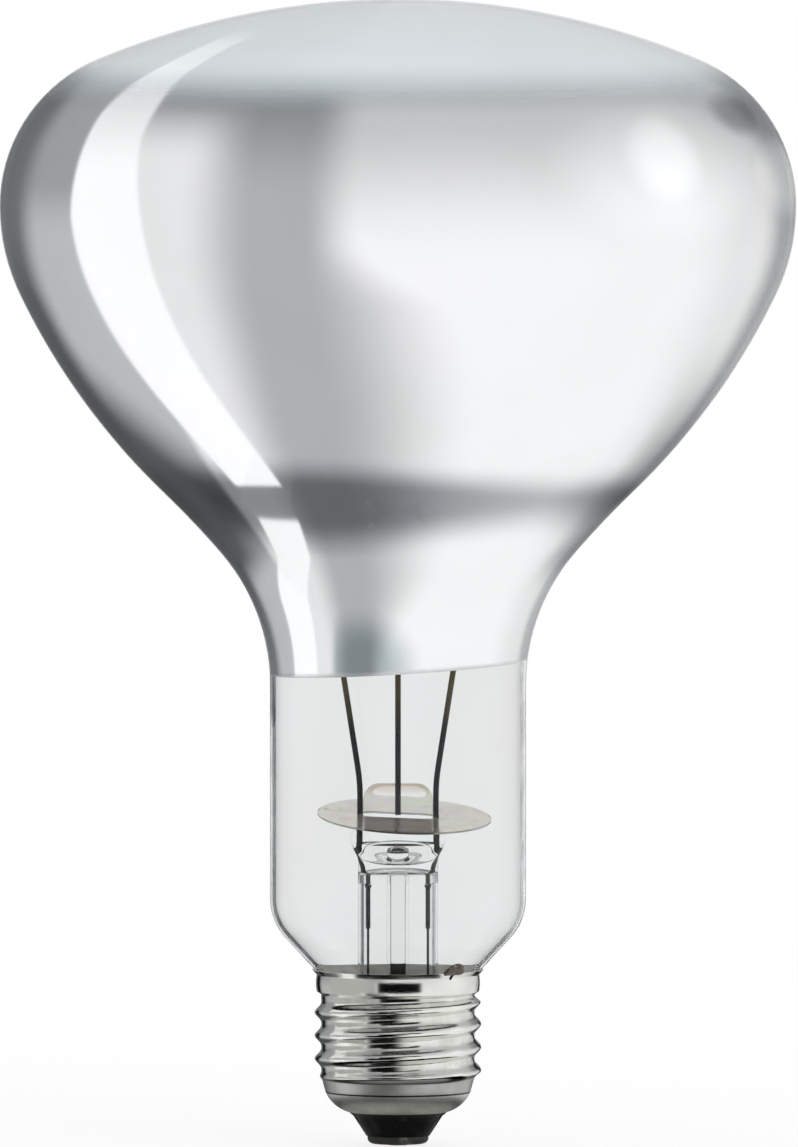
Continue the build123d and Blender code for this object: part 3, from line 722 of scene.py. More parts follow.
def bulb_outline(sizes, inset, spacing):
    """Half outline of the bulb from the middle of its face to the seal, set in from the outer surface."""
    bulb_radius = sizes.bulb_diameter / 2
    neck_radius = sizes.neck_diameter / 2
    seal_radius = sizes.seal_diameter / 2
    face_centre = (0, sizes.lamp_length - sizes.face_radius)
    edge_reach = bulb_radius - sizes.face_edge_radius
    widest = face_centre[1] + sqrt((sizes.face_radius - sizes.face_edge_radius) ** 2 - edge_reach**2)
    neck_top = widest - sizes.bowl_depth
    base_edge_height = neck_top - sizes.neck_length
    face_edge = (edge_reach, widest)
    bowl_edge = (bulb_radius - sizes.bowl_edge_radius, widest)
    neck_bend = (neck_radius + sizes.neck_bend_radius, neck_top)
    base_edge = (neck_radius - sizes.base_edge_radius, base_edge_height)
    face_hand_over = bearing(face_centre, face_edge)
    # The bowl is one arc, tangent to its edge and to the throat, which leads to the neck bend
    span = hypot(bowl_edge[0] - neck_bend[0], sizes.bowl_depth)
    straight_side = degrees(acos((sizes.bowl_edge_radius + sizes.neck_bend_radius) / span))
    bowl_lean = bearing(neck_bend, bowl_edge) + straight_side - degrees(sizes.bowl_bulge)
    throat_lean = bowl_lean + degrees(sizes.throat_turn)
    throat_foot = polar(neck_bend, sizes.neck_bend_radius, throat_lean)
    throat = polar(throat_foot, sizes.throat_radius, throat_lean - 180)
    bowl_foot = polar(throat, sizes.throat_radius, bowl_lean)
    offset = (bowl_foot[0] - bowl_edge[0], bowl_foot[1] - bowl_edge[1])
    reach = offset[0] * cos(radians(bowl_lean)) + offset[1] * sin(radians(bowl_lean))
    bowl_radius = (sizes.bowl_edge_radius**2 - hypot(*offset) ** 2) / (2 * (reach + sizes.bowl_edge_radius))
    bowl = polar(bowl_foot, bowl_radius, bowl_lean)
    bowl_hand_over = bearing(bowl, bowl_edge)
    # The cone sits in the cap, and the seal is inside it
    cone_angle = degrees(sizes.base_cone_angle)
    cone_start = polar(base_edge, sizes.base_edge_radius - inset, -cone_angle)
    seal_start = cone_start[1] - (cone_start[0] - seal_radius + inset) / tan(sizes.base_cone_angle)
    points = arc(face_centre, sizes.face_radius - inset, 90, face_hand_over, spacing)
    points += arc(face_edge, sizes.face_edge_radius - inset, face_hand_over, 0, spacing)
    points += arc(bowl_edge, sizes.bowl_edge_radius - inset, 0, bowl_hand_over, spacing)
    points += arc(bowl, bowl_radius - inset, bowl_hand_over, bowl_lean - 180, spacing)
    points += arc(throat, sizes.throat_radius + inset, bowl_lean, throat_lean, spacing)
    points += arc(neck_bend, sizes.neck_bend_radius + inset, throat_lean, 180, spacing)
    points += straight((neck_radius - inset, neck_top), (neck_radius - inset, base_edge_height), 12)
    points += arc(base_edge, sizes.base_edge_radius - inset, 0, -cone_angle, spacing / 2)
    points += straight(cone_start, (seal_radius - inset, seal_start), 6)
    points += [(seal_radius - inset, seal_start), (seal_radius - inset, sizes.seal_height)]
    points[0] = (0.0, points[0][1])
    return points, neck_top


def new_tree(name, whole_numbers, numbers):
    """A Geometry Nodes tree with named inputs. Gives its bench and the node of its inputs."""
    tree = bpy.data.node_groups.new(name, "GeometryNodeTree")
    kinds = {"Geometry": "NodeSocketGeometry", "Material": "NodeSocketMaterial"}
    kinds.update(dict.fromkeys(whole_numbers, "NodeSocketInt"))
    kinds.update(dict.fromkeys(numbers, "NodeSocketFloat"))
    for label, kind in kinds.items():
        tree.interface.new_socket(label, in_out="INPUT", socket_type=kind)
    tree.interface.new_socket("Geometry", in_out="OUTPUT", socket_type="NodeSocketGeometry")
    bench = Bench(tree)
    return bench, bench.node("NodeGroupInput")


def finish_tree(bench, given, geometry):
    """Ends a tree in real geometry with its material."""
    realized = bench.node("GeometryNodeRealizeInstances", None, {"Geometry": geometry})
    sockets = {"Geometry": realized, "Material": given.out("Material")}
    dressed = bench.node("GeometryNodeSetMaterial", None, sockets)
    bench.node("NodeGroupOutput", None, {"Geometry": dressed})
    return bench.tree


def sampled(bench, geometry, kind, value, index):
    """A value of one of a mesh's points."""
    settings = {"data_type": kind, "domain": "POINT"}
    return bench.node(
        "GeometryNodeSampleIndex", settings, {"Geometry": geometry, "Value": value, "Index": index}
    )


def lathe_tree():
    """Turns an outline about the lamp's axis, with a screw thread where its share asks."""
    numbers = ("Thread Depth", "Thread Pitch", "First Crest", "Crest Sharpness")
    bench, given = new_tree("Turned piece", ("Steps",), numbers)
    outline = given.out("Geometry")
    steps = given.out("Steps")
    size = bench.node("GeometryNodeAttributeDomainSize", {"component": "MESH"}, {"Geometry": outline})
    columns = steps + 1.0
    sides = {"Vertices X": size.out("Point Count"), "Vertices Y": columns}
    grid = bench.node("GeometryNodeMeshGrid", None, sides)
    index = bench.node("GeometryNodeInputIndex")
    ring = bench.math("FLOOR", (index + 0.5) / columns)
    turned = (index - ring * columns) / steps
    point = bench.node("GeometryNodeInputPosition")
    start, _, height = bench.parts(sampled(bench, outline, "FLOAT_VECTOR", point, ring))
    share = bench.node("GeometryNodeInputNamedAttribute", {"data_type": "FLOAT"}, {"Name": "thread_share"})
    thread_share = sampled(bench, outline, "FLOAT", share, ring)
    phase = (height - given.out("First Crest")) / given.out("Thread Pitch") - turned
    wave = (bench.math("COSINE", phase * (2 * pi)) * 0.5 + 0.5) ** given.out("Crest Sharpness")
    radius = start + thread_share * given.out("Thread Depth") * wave
    angle = turned * (2 * pi)
    moved = bench.node("ShaderNodeCombineXYZ", None, {
        "X": radius * bench.math("COSINE", angle),
        "Y": radius * bench.math("SINE", angle),
        "Z": height,
    })
    shaped = bench.node("GeometryNodeSetPosition", None, {"Geometry": grid, "Position": moved})
    sockets = {"Geometry": shaped, "Distance": MERGE_DISTANCE}
    return finish_tree(bench, given, bench.node("GeometryNodeMergeByDistance", None, sockets))


def coil_tree():
    """Winds a wire round a path."""
    numbers = ("Winding Radius", "Wire Radius")
    bench, given = new_tree("Wound coil", ("Turns", "Points per Turn"), numbers)
    total = given.out("Turns") * given.out("Points per Turn")
    path = bench.node("GeometryNodeMeshToCurve", None, {"Mesh": given.out("Geometry")})
    fine = bench.node("GeometryNodeResampleCurve", None, {"Curve": path, "Count": total})
    along = bench.node("GeometryNodeSplineParameter").out("Factor")
    angle = along * given.out("Turns") * (2 * pi)
    winding = given.out("Winding Radius")
    outward = bench.vector("CROSS_PRODUCT", bench.node("GeometryNodeInputTangent"), (0.0, 0.0, 1.0))
    reach = {0: outward, "Scale": bench.math("COSINE", angle) * winding}
    across = bench.node("ShaderNodeVectorMath", {"operation": "SCALE"}, reach)
    rise = bench.node("ShaderNodeCombineXYZ", None, {"Z": bench.math("SINE", angle) * winding})
    offset = bench.vector("ADD", across, rise)
    wound = bench.node("GeometryNodeSetPosition", None, {"Geometry": fine, "Offset": offset})
    round_wire = {"Resolution": 6, "Radius": given.out("Wire Radius")}
    section = bench.node("GeometryNodeCurvePrimitiveCircle", {"mode": "RADIUS"}, round_wire)
    sockets = {"Curve": wound, "Profile Curve": section, "Fill Caps": True}
    return finish_tree(bench, given, bench.node("GeometryNodeCurveToMesh", None, sockets))


def run_tree(name, source, tree, values):
    """Evaluates a tree on a mesh and gives the result as a plain mesh."""
    maker = add_object(name + " maker", source)
    modifier = maker.modifiers.new(tree.name, "NODES")
    modifier.node_group = tree
    for item in tree.interface.items_tree:
        if item.in_out == "INPUT" and item.name in values:
            modifier[item.identifier] = values[item.name]
    mesh = evaluated_mesh(maker, name)
    maker.modifiers.remove(modifier)
    bpy.data.objects.remove(maker)
    bpy.data.meshes.remove(source)
    if not mesh.polygons:
        raise RuntimeError(f"{name} came out empty")
    return mesh


def outline_mesh(points, closed, thread_shares=None):
    """A line of points in the XZ plane, for the lathe."""
    mesh = bpy.data.meshes.new("outline")
    ring = list(points) + ([points[0]] if closed else [])
    edges = [(index, index + 1) for index in range(len(ring) - 1)]
    mesh.from_pydata([(x, 0.0, z) for x, z in ring], edges, [])
    layer = mesh.attributes.new("thread_share", "FLOAT", "POINT")
    if thread_shares:
        values = list(thread_shares) + ([thread_shares[0]] if closed else [])
        layer.data.foreach_set("value", values)
    return mesh


def turned_mesh(name, points, closed, steps, material, thread=None, thread_shares=None):
    """Turns an outline about the axis into a welded mesh."""
    values = {"Steps": steps, "Thread Pitch": 1.0, "Crest Sharpness": 1.0, "Material": material}
    values.update(thread or {})
    tree = bpy.data.node_groups.get("Turned piece") or lathe_tree()
    mesh = run_tree(name, outline_mesh(points, closed, thread_shares), tree, values)
    weld(mesh)
    return mesh


class LAMP_OT_bulb(bpy.types.Operator):
    """Blow the glass bulb and silver its bowl"""

    bl_idname = "lamp.bulb"
    bl_label = "Bulb and mirror film"

    def execute(self, context):
        sizes = context.scene.lamp_bulb
        colours = context.scene.lamp_colours
        outer, neck_top = bulb_outline(sizes, 0.0, GLASS_SPACING)
        inner, _ = bulb_outline(sizes, sizes.glass_wall, GLASS_SPACING)
        edge_slope = tan(sizes.film_edge_tilt)
        edge_height = neck_top + sizes.film_neck_gap
        glass = bulb_glass_material(colours, edge_height, edge_slope, sizes.film_top)
        mesh = turned_mesh("bulb_glass", outer + inner[::-1], False, sizes.round_steps, glass)
        smooth(mesh, 35)
        add_piece("bulb_glass", mesh, glass, "glass_envelope")
        silver = mirror_material(colours, edge_height, edge_slope, sizes)
        film = self.film_mesh(sizes, edge_height, edge_slope)
        add_piece("mirror_film", film, silver, "mirror_coating")
        return {"FINISHED"}

    def film_mesh(self, sizes, edge_height, edge_slope):
        """Thin closed film on the inner wall, level at the face and slanting at the neck."""
        work = bmesh.new()

        def ring(wall, share):
            """A ring of points round the wall, at a share of the way up from the slanting edge."""
            points = []
            for step in range(sizes.round_steps):
                angle = 2 * pi * step / sizes.round_steps
                low = edge_height + edge_slope * sizes.neck_diameter / 2 * cos(angle)
                height = low + (sizes.film_top - low) * share
                radius = wall_radius(wall, height)
                points.append(work.verts.new((radius * cos(angle), radius * sin(angle), height)))
            return points

        def skin(inset):
            """One side of the film, as rings from the neck up to the face."""
            wall, _ = bulb_outline(sizes, inset, FILM_SPACING)
            return [ring(wall, number / sizes.film_rings) for number in range(sizes.film_rings + 1)]

        outside = skin(sizes.glass_wall + sizes.film_gap)
        inside = skin(sizes.glass_wall + sizes.film_gap + sizes.film_thickness)
        skin_rings(work, [*outside, *inside[::-1], outside[0]])
        bmesh.ops.recalc_face_normals(work, faces=work.faces)
        mesh = mesh_from(work, "mirror_film")
        smooth(mesh, 50)
        return mesh


def wall_radius(wall, height):
    """Radius of the bulb's wall at a height, along an outline that falls from face to seal."""
    low, high = 0, len(wall) - 1
    while high - low > 1:
        middle = (low + high) // 2
        if wall[middle][1] >= height:
            low = middle
        else:
            high = middle
    upper, lower = wall[low], wall[high]
    part = (upper[1] - height) / (upper[1] - lower[1])
    return upper[0] + (lower[0] - upper[0]) * part


def oval_ring(work, half_width, half_depth, squareness, height, steps):
    """A ring of points, round at squareness 2 and nearly a rectangle at 6."""
    ring = []
    for step in range(steps):
        angle = 2 * pi * (step + 0.5) / steps
        across = abs(cos(angle) / half_width) ** squareness
        deep = abs(sin(angle) / half_depth) ** squareness
        reach = (across + deep) ** (-1 / squareness)
        ring.append(work.verts.new((reach * cos(angle), reach * sin(angle), height)))
    return ring


def skin_rings(work, rings):
    """Faces between rings of points that stand on each other."""
    for lower, upper in zip(rings, rings[1:]):
        for step in range(len(lower)):
            after = (step + 1) % len(lower)
            work.faces.new((lower[step], lower[after], upper[after], upper[step]))


def ease(part):
    """Smooth step from 0 to 1."""
    return part * part * (3 - 2 * part)


class LAMP_OT_stem(bpy.types.Operator):
    """Draw the glass stem, press it round the wires and fit the exhaust tube"""

    bl_idname = "lamp.stem"
    bl_label = "Glass stem"

    def execute(self, context):
        sizes = context.scene.lamp_stem
        colours = context.scene.lamp_colours
        press_bottom = stem_low.z + sizes.tube_length
        glass = stem_glass_material(colours, press_bottom, press_bottom + sizes.press_rise)
        body = self.body_mesh(sizes, press_bottom)
        pocket_height = press_bottom + sizes.pocket_rise
        mesh = self.hollowed(sizes, body, pocket_height)
        smooth(mesh, 40)
        add_piece("stem_glass", mesh, glass, "stem_flare")
        dome_top = press_bottom - sizes.dome_drop + sizes.dome_rise
        outline = self.exhaust_outline(sizes, dome_top)
        tube = turned_mesh("exhaust_glass", outline, True, sizes.exhaust_steps, glass)
        smooth(tube, 40)
        add_piece("exhaust_glass", tube, glass, "exhaust_tube")
        return {"FINISHED"}

    def body_mesh(self, sizes, press_bottom):
        """Outside and bore of the stem: flared foot, tube, press and tongue."""
        tube = sizes.tube_diameter / 2
        bore = tube - sizes.tube_wall
        flare = sizes.flare_rim - tube
        flare_height = stem_low.z + flare + sizes.tube_wall
        press_top = press_bottom + sizes.press_rise
        shoulder = press_top + sizes.press_height
        half_width = sizes.press_width / 2
        half_depth = sizes.press_thickness / 2
        half_tongue = sizes.tongue_width / 2
        flare_centre = (sizes.flare_rim, flare_height)
        press_squareness = 5
        work = bmesh.new()

        def oval(width, depth, squareness, height):
            """A ring of points round the stem."""
            return oval_ring(work, width, depth, squareness, height, sizes.round_steps)

        def circle(radius, height):
            """A round ring of points."""
            return oval(radius, radius, 2, height)

        rings = [circle(sizes.flare_rim, stem_low.z)]
        rings += [circle(*polar(flare_centre, flare, 270 - 9 * part)) for part in range(11)]
        for part in range(1, 9):
            rings.append(circle(tube, flare_height + (press_bottom - flare_height) * part / 8))
        for part in range(1, 17):
            eased = ease(part / 16)
            width = tube + (half_width - tube) * eased
            depth = tube + (half_depth - tube) * eased
            height = press_bottom + sizes.press_rise * part / 16
            rings.append(oval(width, depth, 2 + (press_squareness - 2) * eased, height))
        # The press rounds over to the narrower tongue
        for part in range(1, 9):
            lean = radians(90 * part / 8)
            width = half_tongue + (half_width - half_tongue) * cos(lean)
            height = press_top + sizes.press_height * sin(lean)
            rings.append(oval(width, half_depth, press_squareness, height))
        tongue_edge_height = stem_high.z - sizes.tongue_corner
        for part in range(1, 5):
            height = shoulder + (tongue_edge_height - shoulder) * part / 4
            rings.append(oval(half_tongue, half_depth, press_squareness, height))
        for part in range(1, 8):
            lean = radians(90 * part / 8)
            width = half_tongue - sizes.tongue_corner * (1 - cos(lean))
            depth = half_depth - sizes.tongue_edge * (1 - cos(lean))
            height = tongue_edge_height + sizes.tongue_corner * sin(lean)
            rings.append(oval(width, depth, press_squareness - part / 4, height))
        skin_rings(work, rings)
        work.faces.new(rings[-1])
        # Bore, from the foot up to its dome
        inner_flare = flare + sizes.tube_wall
        inner = [circle(*polar(flare_centre, inner_flare, 262 - 8.2 * part)) for part in range(11)]
        dome_foot = press_bottom - sizes.dome_drop
        for part in range(1, 9):
            inner.append(circle(bore, flare_height + (dome_foot - flare_height) * part / 8))
        for part in range(1, 10):
            lean = radians(90 * part / 10)
            inner.append(circle(bore * cos(lean), dome_foot + sizes.dome_rise * sin(lean)))
        skin_rings(work, inner)
        work.faces.new(inner[-1])
        skin_rings(work, [rings[0], inner[0]])
        bmesh.ops.recalc_face_normals(work, faces=work.faces)
        return mesh_from(work, "stem_glass")

    def hollowed(self, sizes, mesh, pocket_height):
        """The stem with the air pocket in its press and the blow hole to the front."""
        body = add_object("stem maker", mesh)
        cutters = [self.pocket_cutter(sizes, pocket_height), self.hole_cutter(sizes, pocket_height)]
        for cutter in cutters:
            modifier = body.modifiers.new(cutter.name, "BOOLEAN")
            modifier.operation = "DIFFERENCE"
            modifier.solver = "EXACT"
            modifier.object = cutter
        result = evaluated_mesh(body, "stem_glass")
        for maker in (body, *cutters):
            bpy.data.objects.remove(maker)
        return result

    def pocket_cutter(self, sizes, height):
        """Flat oval pocket where the exhaust tube opens into the press."""
        work = bmesh.new()
        bmesh.ops.create_uvsphere(work, u_segments=48, v_segments=24, radius=0.5)
        oval = Matrix.Diagonal((sizes.pocket_width, sizes.pocket_depth, sizes.pocket_height, 1.0))
        placed = Matrix.Translation((0, 0, height)) @ oval
        bmesh.ops.transform(work, matrix=placed, verts=work.verts)
        return add_object("pocket", mesh_from(work, "pocket"))

    def hole_cutter(self, sizes, height):
        """Blow hole from the pocket to the front of the press."""
        work = bmesh.new()
        reach = sizes.tube_diameter / 2
        bmesh.ops.create_cone(work, cap_ends=True, segments=32, radius1=0.5, radius2=0.5, depth=reach)
        oval = Matrix.Diagonal((sizes.blow_hole_width, 1.0, sizes.blow_hole_height, 1.0))
        placed = Matrix.Translation((0, -reach / 2, height)) @ oval @ Matrix.Rotation(pi / 2, 4, "X")
        bmesh.ops.transform(work, matrix=placed, verts=work.verts)
        return add_object("blow hole", mesh_from(work, "blow hole"))

    def exhaust_outline(self, sizes, dome_top):
        """Half section of the exhaust tube, with its melted tip."""
        outer = sizes.exhaust_diameter / 2
        bore = sizes.exhaust_bore / 2
        tip = exhaust_low.z
        top = dome_top - sizes.exhaust_gap
        points = [polar((0, tip + outer), outer, -90 + 10 * part) for part in range(10)]
        points += straight((outer, tip + outer), (outer, top), 8)[1:]
        points += [(outer, top), (bore, top)]
        points += [polar((0, tip + sizes.exhaust_tip_wall + bore), bore, -10 * part) for part in range(10)]
        points[0] = (0.0, points[0][1])
        points[-1] = (0.0, points[-1][1])
        return points


class LAMP_OT_shield(bpy.types.Operator):
    """Cut the mica heat shield"""

    bl_idname = "lamp.shield"
    bl_label = "Heat shield"

    def execute(self, context):
        mica = mica_material(context.scene.lamp_colours)
        smooth_copy("heat_shield", "mica_shield", mica, 30)
        return {"FINISHED"}


class LAMP_OT_wires(bpy.types.Operator):
    """Dress the leads, the seal wires and the coil's support"""

    bl_idname = "lamp.wires"
    bl_label = "Leads and wires"

    def execute(self, context):
        nickel = wire_material(context.scene.lamp_colours)
        copper = copper_material(context.scene.lamp_colours)
        thick = ["inner_lead_left", "inner_lead_right", "seal_wire_left", "seal_wire_right"]
        for node in (*thick, "filament_support"):
            smooth_copy(node, node + "_wire", nickel, 45)
        for node in ("outer_lead_left", "outer_lead_right"):
            smooth_copy(node, node + "_wire", copper, 45)
        return {"FINISHED"}


class LAMP_OT_coil(bpy.types.Operator):
    """Wind the coil on its half ring"""

    bl_idname = "lamp.coil"
    bl_label = "Coil"

    def execute(self, context):
        sizes = context.scene.lamp_coil
        tungsten = tungsten_material(context.scene.lamp_colours)
        ring = sizes.ring_diameter / 2
        height = (coil_low.z + coil_high.z) / 2
        points = [(ring, -sizes.overhang, height)]
        points += [(*polar((0, 0), ring, angle), height) for angle in range(0, 181, 5)]
        points.append((-ring, -sizes.overhang, height))
        path = bpy.data.meshes.new("coil path")
        path.from_pydata(points, [(index, index + 1) for index in range(len(points) - 1)], [])
        wire_radius = sizes.wire_diameter / 2
        mesh = run_tree("wound_coil", path, coil_tree(), {
            "Turns": sizes.turns,
            "Points per Turn": sizes.points_per_turn,
            "Winding Radius": sizes.coil_diameter / 2 - wire_radius,
            "Wire Radius": wire_radius,
            "Material": tungsten,
        })
        smooth(mesh, 60)
        add_piece("wound_coil", mesh, tungsten, "filament")
        return {"FINISHED"}


class LAMP_OT_cap(bpy.types.Operator):
    """Roll the screw shell with its right-hand thread"""

    bl_idname = "lamp.cap"
    bl_label = "Screw shell"

    def execute(self, context):
        sizes = context.scene.lamp_cap
        root = sizes.root_diameter / 2
        crest = sizes.crest_diameter / 2
        nickel = nickel_material(context.scene.lamp_colours, root, crest, shell_low.z + sizes.cup_height)
        outside, outside_shares = self.side(sizes, 0.0)
        inside, inside_shares = self.side(sizes, sizes.sheet)
        thread = {
            "Thread Depth": crest - root,
            "Thread Pitch": sizes.pitch,
            "First Crest": sizes.first_crest,
            "Crest Sharpness": sizes.crest_sharpness,
        }
        mesh = turned_mesh(
            "screw_shell",
            outside + inside[::-1],
            True,
            sizes.round_steps,
            nickel,
            thread,
            outside_shares + inside_shares[::-1],
        )
        smooth(mesh, 38)
        add_piece("screw_shell", mesh, nickel, "cap_shell")
        return {"FINISHED"}

    def side(self, sizes, inset):
        """Outline of the shell from its lip to its hole, and how much of the thread each point has."""
        root = sizes.root_diameter / 2 - inset
        skirt = sizes.skirt_diameter / 2 - inset
        top = shell_high.z
        skirt_bottom = sizes.thread_top + sizes.skirt_step
        edge = (sizes.cup_diameter / 2, shell_low.z + sizes.cup_height)
        points = [(sizes.lip_diameter / 2 - inset, top)]
        for part in range(11):
            across = part / 5 - 1
            height = top - sizes.lip_height - (top - sizes.lip_height - skirt_bottom) * part / 10
            points.append((skirt - sizes.skirt_bulge * across**2, height))
        shares = [0.0] * len(points)
        for ring in range(sizes.thread_rings + 1):
            height = sizes.thread_top - (sizes.thread_top - sizes.thread_bottom) * ring / sizes.thread_rings
            from_end = max(0.0, min(height - sizes.thread_end, sizes.thread_top - height))
            narrowed = max(0.0, sizes.taper_top - height) / (sizes.taper_top - edge[1])
            points.append((root - (sizes.root_diameter / 2 - edge[0]) * narrowed, height))
            shares.append(ease(min(1.0, from_end / sizes.thread_fade)))
        hole = (sizes.cup_hole_diameter / 2, shell_low.z)
        chord = hypot(edge[0] - hole[0], sizes.cup_height)
        radius = (chord**2 / 4 + sizes.cup_sag**2) / (2 * sizes.cup_sag)
        middle = ((edge[0] + hole[0]) / 2, (edge[1] + hole[1]) / 2)
        centre = polar(middle, radius - sizes.cup_sag, bearing(hole, edge) + 90)
        start = bearing(centre, edge)
        turned = bearing(centre, hole) - start
        cup = [polar(centre, radius - inset, start + turned * part / 12) for part in range(13)]
        return points + cup, shares + [0.0] * len(cup)


class LAMP_OT_contact(bpy.types.Operator):
    """Dress the black glass insulator, the centre contact and its solder"""

    bl_idname = "lamp.contact"
    bl_label = "Insulator and contact"

    def execute(self, context):
        colours = context.scene.lamp_colours
        black_glass = black_glass_material(colours)
        smooth_copy("cap_insulator", "insulator_cone", black_glass, 25)
        smooth_copy("contact_plate", "contact_disc", contact_material(colours), 35)
        centre_solder = solder_material("contact solder", colours, 0.55, 0.75)
        smooth_copy("contact_solder", "contact_bead", centre_solder, 35)
        return {"FINISHED"}


class LAMP_OT_rim(bpy.types.Operator):
    """Dress the cement line and the solder at the rim"""

    bl_idname = "lamp.rim"
    bl_label = "Cement and side solder"

    def execute(self, context):
        colours = context.scene.lamp_colours
        smooth_copy("cap_cement", "cement_ring", cement_material(colours), 30)
        side = solder_material("side solder", colours, 0.28, 0.5)
        smooth_copy("side_solder", "rim_bead", side, 50)
        return {"FINISHED"}


class LAMP_OT_stage(bpy.types.Operator):
    """Lay the floor, set the soft studio light and aim the camera"""

    bl_idname = "lamp.stage"
    bl_label = "Studio"

    def execute(self, context):
        studio = context.scene.lamp_studio
        colours = context.scene.lamp_colours
        self.lay_floor(studio, colours)
        self.hang_key(studio)
        self.hang_cards()
        context.scene.world = self.paint_studio(studio)
        self.aim_camera(context.scene, studio)
        context.scene.view_settings.view_transform = "Standard"
        return {"FINISHED"}

    def lay_floor(self, studio, colours):
        """Pale floor that keeps the lamp's shadow and ends in the white background."""
        half = studio.floor_size / 2
        mesh = bpy.data.meshes.new("floor")
        corners = [(-half, -half, 0.0), (half, -half, 0.0), (half, half, 0.0), (-half, half, 0.0)]
        mesh.from_pydata(corners, [], [(0, 1, 2, 3)])
        floor = add_object("floor", mesh)
        material, bench, place = new_material("studio floor")
        radius, _ = distance_from_axis(bench, place)
        matt = bench.node("ShaderNodeBsdfDiffuse", None, {"Color": colours.floor})
        white = bench.node("ShaderNodeEmission", None, {"Color": WHITE, "Strength": 1.0})
        seen = bench.node("ShaderNodeLightPath").out("Is Camera Ray")
        plain = 0.82 + 0.18 * bench.ramp(radius, 0.1, 0.5)
        mesh.materials.append(end_in(material, bench, bench.blend(plain * seen, matt, white)))
        floor.visible_glossy = False
        floor.visible_transmission = False

    def hang_key(self, studio):
        """One large soft lamp above, in front and to the right."""
        light = bpy.data.lights.new("key", "AREA")
        light.shape = "DISK"
        light.size = studio.key_size
        light.energy = studio.key_power
        key = add_object("key", light)
        key.location = studio.key_place
        key.rotation_mode = "QUATERNION"
        aim = Vector((0, 0, studio.aim_height)) - key.location
        key.rotation_quaternion = aim.to_track_quat("-Z", "Y")
        key.visible_glossy = False
        key.visible_transmission = False

    def hang_cards(self):
        """Cards close to the cap, which only its metal mirrors: rings below and above, sheets round it."""
        steps = 64
        around = [polar((0, 0), 1.0, 360 * step / steps) for step in range(steps)]
        faces = [(s, (s + 1) % steps, steps + (s + 1) % steps, steps + s) for s in range(steps)]
        for name, inner, outer, height, tone in (
            # The under card and the under ring are painted shade: the shaded floor round the cap, as its
            # metal mirrors it
            ("under card", 0.001, 0.013, 0.0003, FLOOR_SHADE),
            ("under ring", 0.013, 0.021, 0.0003, BLACK),
            ("over ring", 0.014, 0.0168, 0.0284, BLACK),
        ):
            ring = [(reach * x, reach * y, height) for reach in (inner, outer) for x, y in around]
            material, bench, place = new_material(name)
            self.card(name, ring, faces, material, bench, tone)
        for name, left, right, low, top, tone, soft in (
            ("front low card", (-0.023, -0.024), (0.006, -0.024), 0.001, 0.0188, BLACK, 0.6),
            ("front high card", (-0.0145, -0.03), (0.0165, -0.03), 0.0185, 0.0295, BLACK, 0.2),
            ("left card", (-0.06, -0.075), (-0.06, 0.012), 0.0, 0.045, GREY, 0.0),
            ("back left card", (-0.046, 0.04), (-0.029, 0.04), 0.0, 0.03, BLACK, 0.0),
            ("back right card", (0.0235, 0.04), (0.033, 0.04), 0.0, 0.03, BLACK, 0.0),
        ):
            corners = [(*left, low), (*right, low), (*right, top), (*left, top)]
            material, bench, place = new_material(name)
            if soft:
                tone = self.faded(bench, place, tone, left[0], right[0], soft)
            self.card(name, corners, [(0, 1, 2, 3)], material, bench, tone)

    def faded(self, bench, place, tone, left, right, soft):
        """A card's tone, which turns pale over a share of the way to each end."""
        reach = (right - left) / 2
        across, _, _ = bench.parts(place)
        off_middle = bench.math("ABSOLUTE", across - (left + right) / 2)
        return bench.mix(bench.ramp(off_middle, reach * (1.0 - soft), reach), tone, PALE)

    def card(self, name, corners, faces, material, bench, tone):
        """A card that is seen in polished metal only."""
        mesh = bpy.data.meshes.new(name)
        mesh.from_pydata(corners, [], faces)
        glow = bench.node("ShaderNodeEmission", None, {"Color": tone, "Strength": 1.0})
        mesh.materials.append(end_in(material, bench, glow))
        card = add_object(name, mesh)
        card.visible_camera = False
        card.visible_diffuse = False
        card.visible_transmission = False
        card.visible_shadow = False

    def paint_studio(self, studio):
        """Soft boxes round the lamp, and a white background behind it.

        A box is placed by the way a wall has to face to mirror it to the viewer: degrees to the side,
        and degrees of lean."""
        world = bpy.data.worlds.new("studio")
        world.use_nodes = True
        world.node_tree.nodes.clear()
        bench = Bench(world.node_tree)
        way = bench.node("ShaderNodeTexCoord").out("Generated")
        viewer = (0.0, -cos(studio.camera_lift), sin(studio.camera_lift))
        between = bench.vector("ADD", way, viewer)
        across, deep, up = bench.parts(bench.vector("NORMALIZE", between))
        side = bench.math("ARCTAN2", across, -deep) * (180 / pi)
        lean = bench.math("ARCSINE", -up) * (180 / pi)
        box_starts = 22.0 * bench.ramp(lean, 4.0, 38.0) - 5.0
        box_share = bench.ramp(side, -14.0, box_starts)
        left = self.left_light(bench, side, lean)
        light = left + (self.box_light(bench, side, lean) - left) * box_share
        light = light * (1.0 - self.table_shade(bench, side, lean))
        ceiling = 0.66
        light = light + (ceiling - light) * 0.8 * bench.ramp(-lean, 52.0, 66.0)
        strip, glare = self.strip_light(bench, side, lean)
        light = light + (glare - light) * strip
        # Pale behind the lamp, where all the sides meet
        pale = 0.95
        reach = bench.vector("LENGTH", between).out("Value")
        light = 1.065 * (pale + (light - pale) * bench.ramp(reach, 0.06, 0.19))
        cool = bench.mix(bench.ramp(light, 0.15, 0.75), (0.93, 0.98, 1.03), (1.0, 1.0, 1.004))
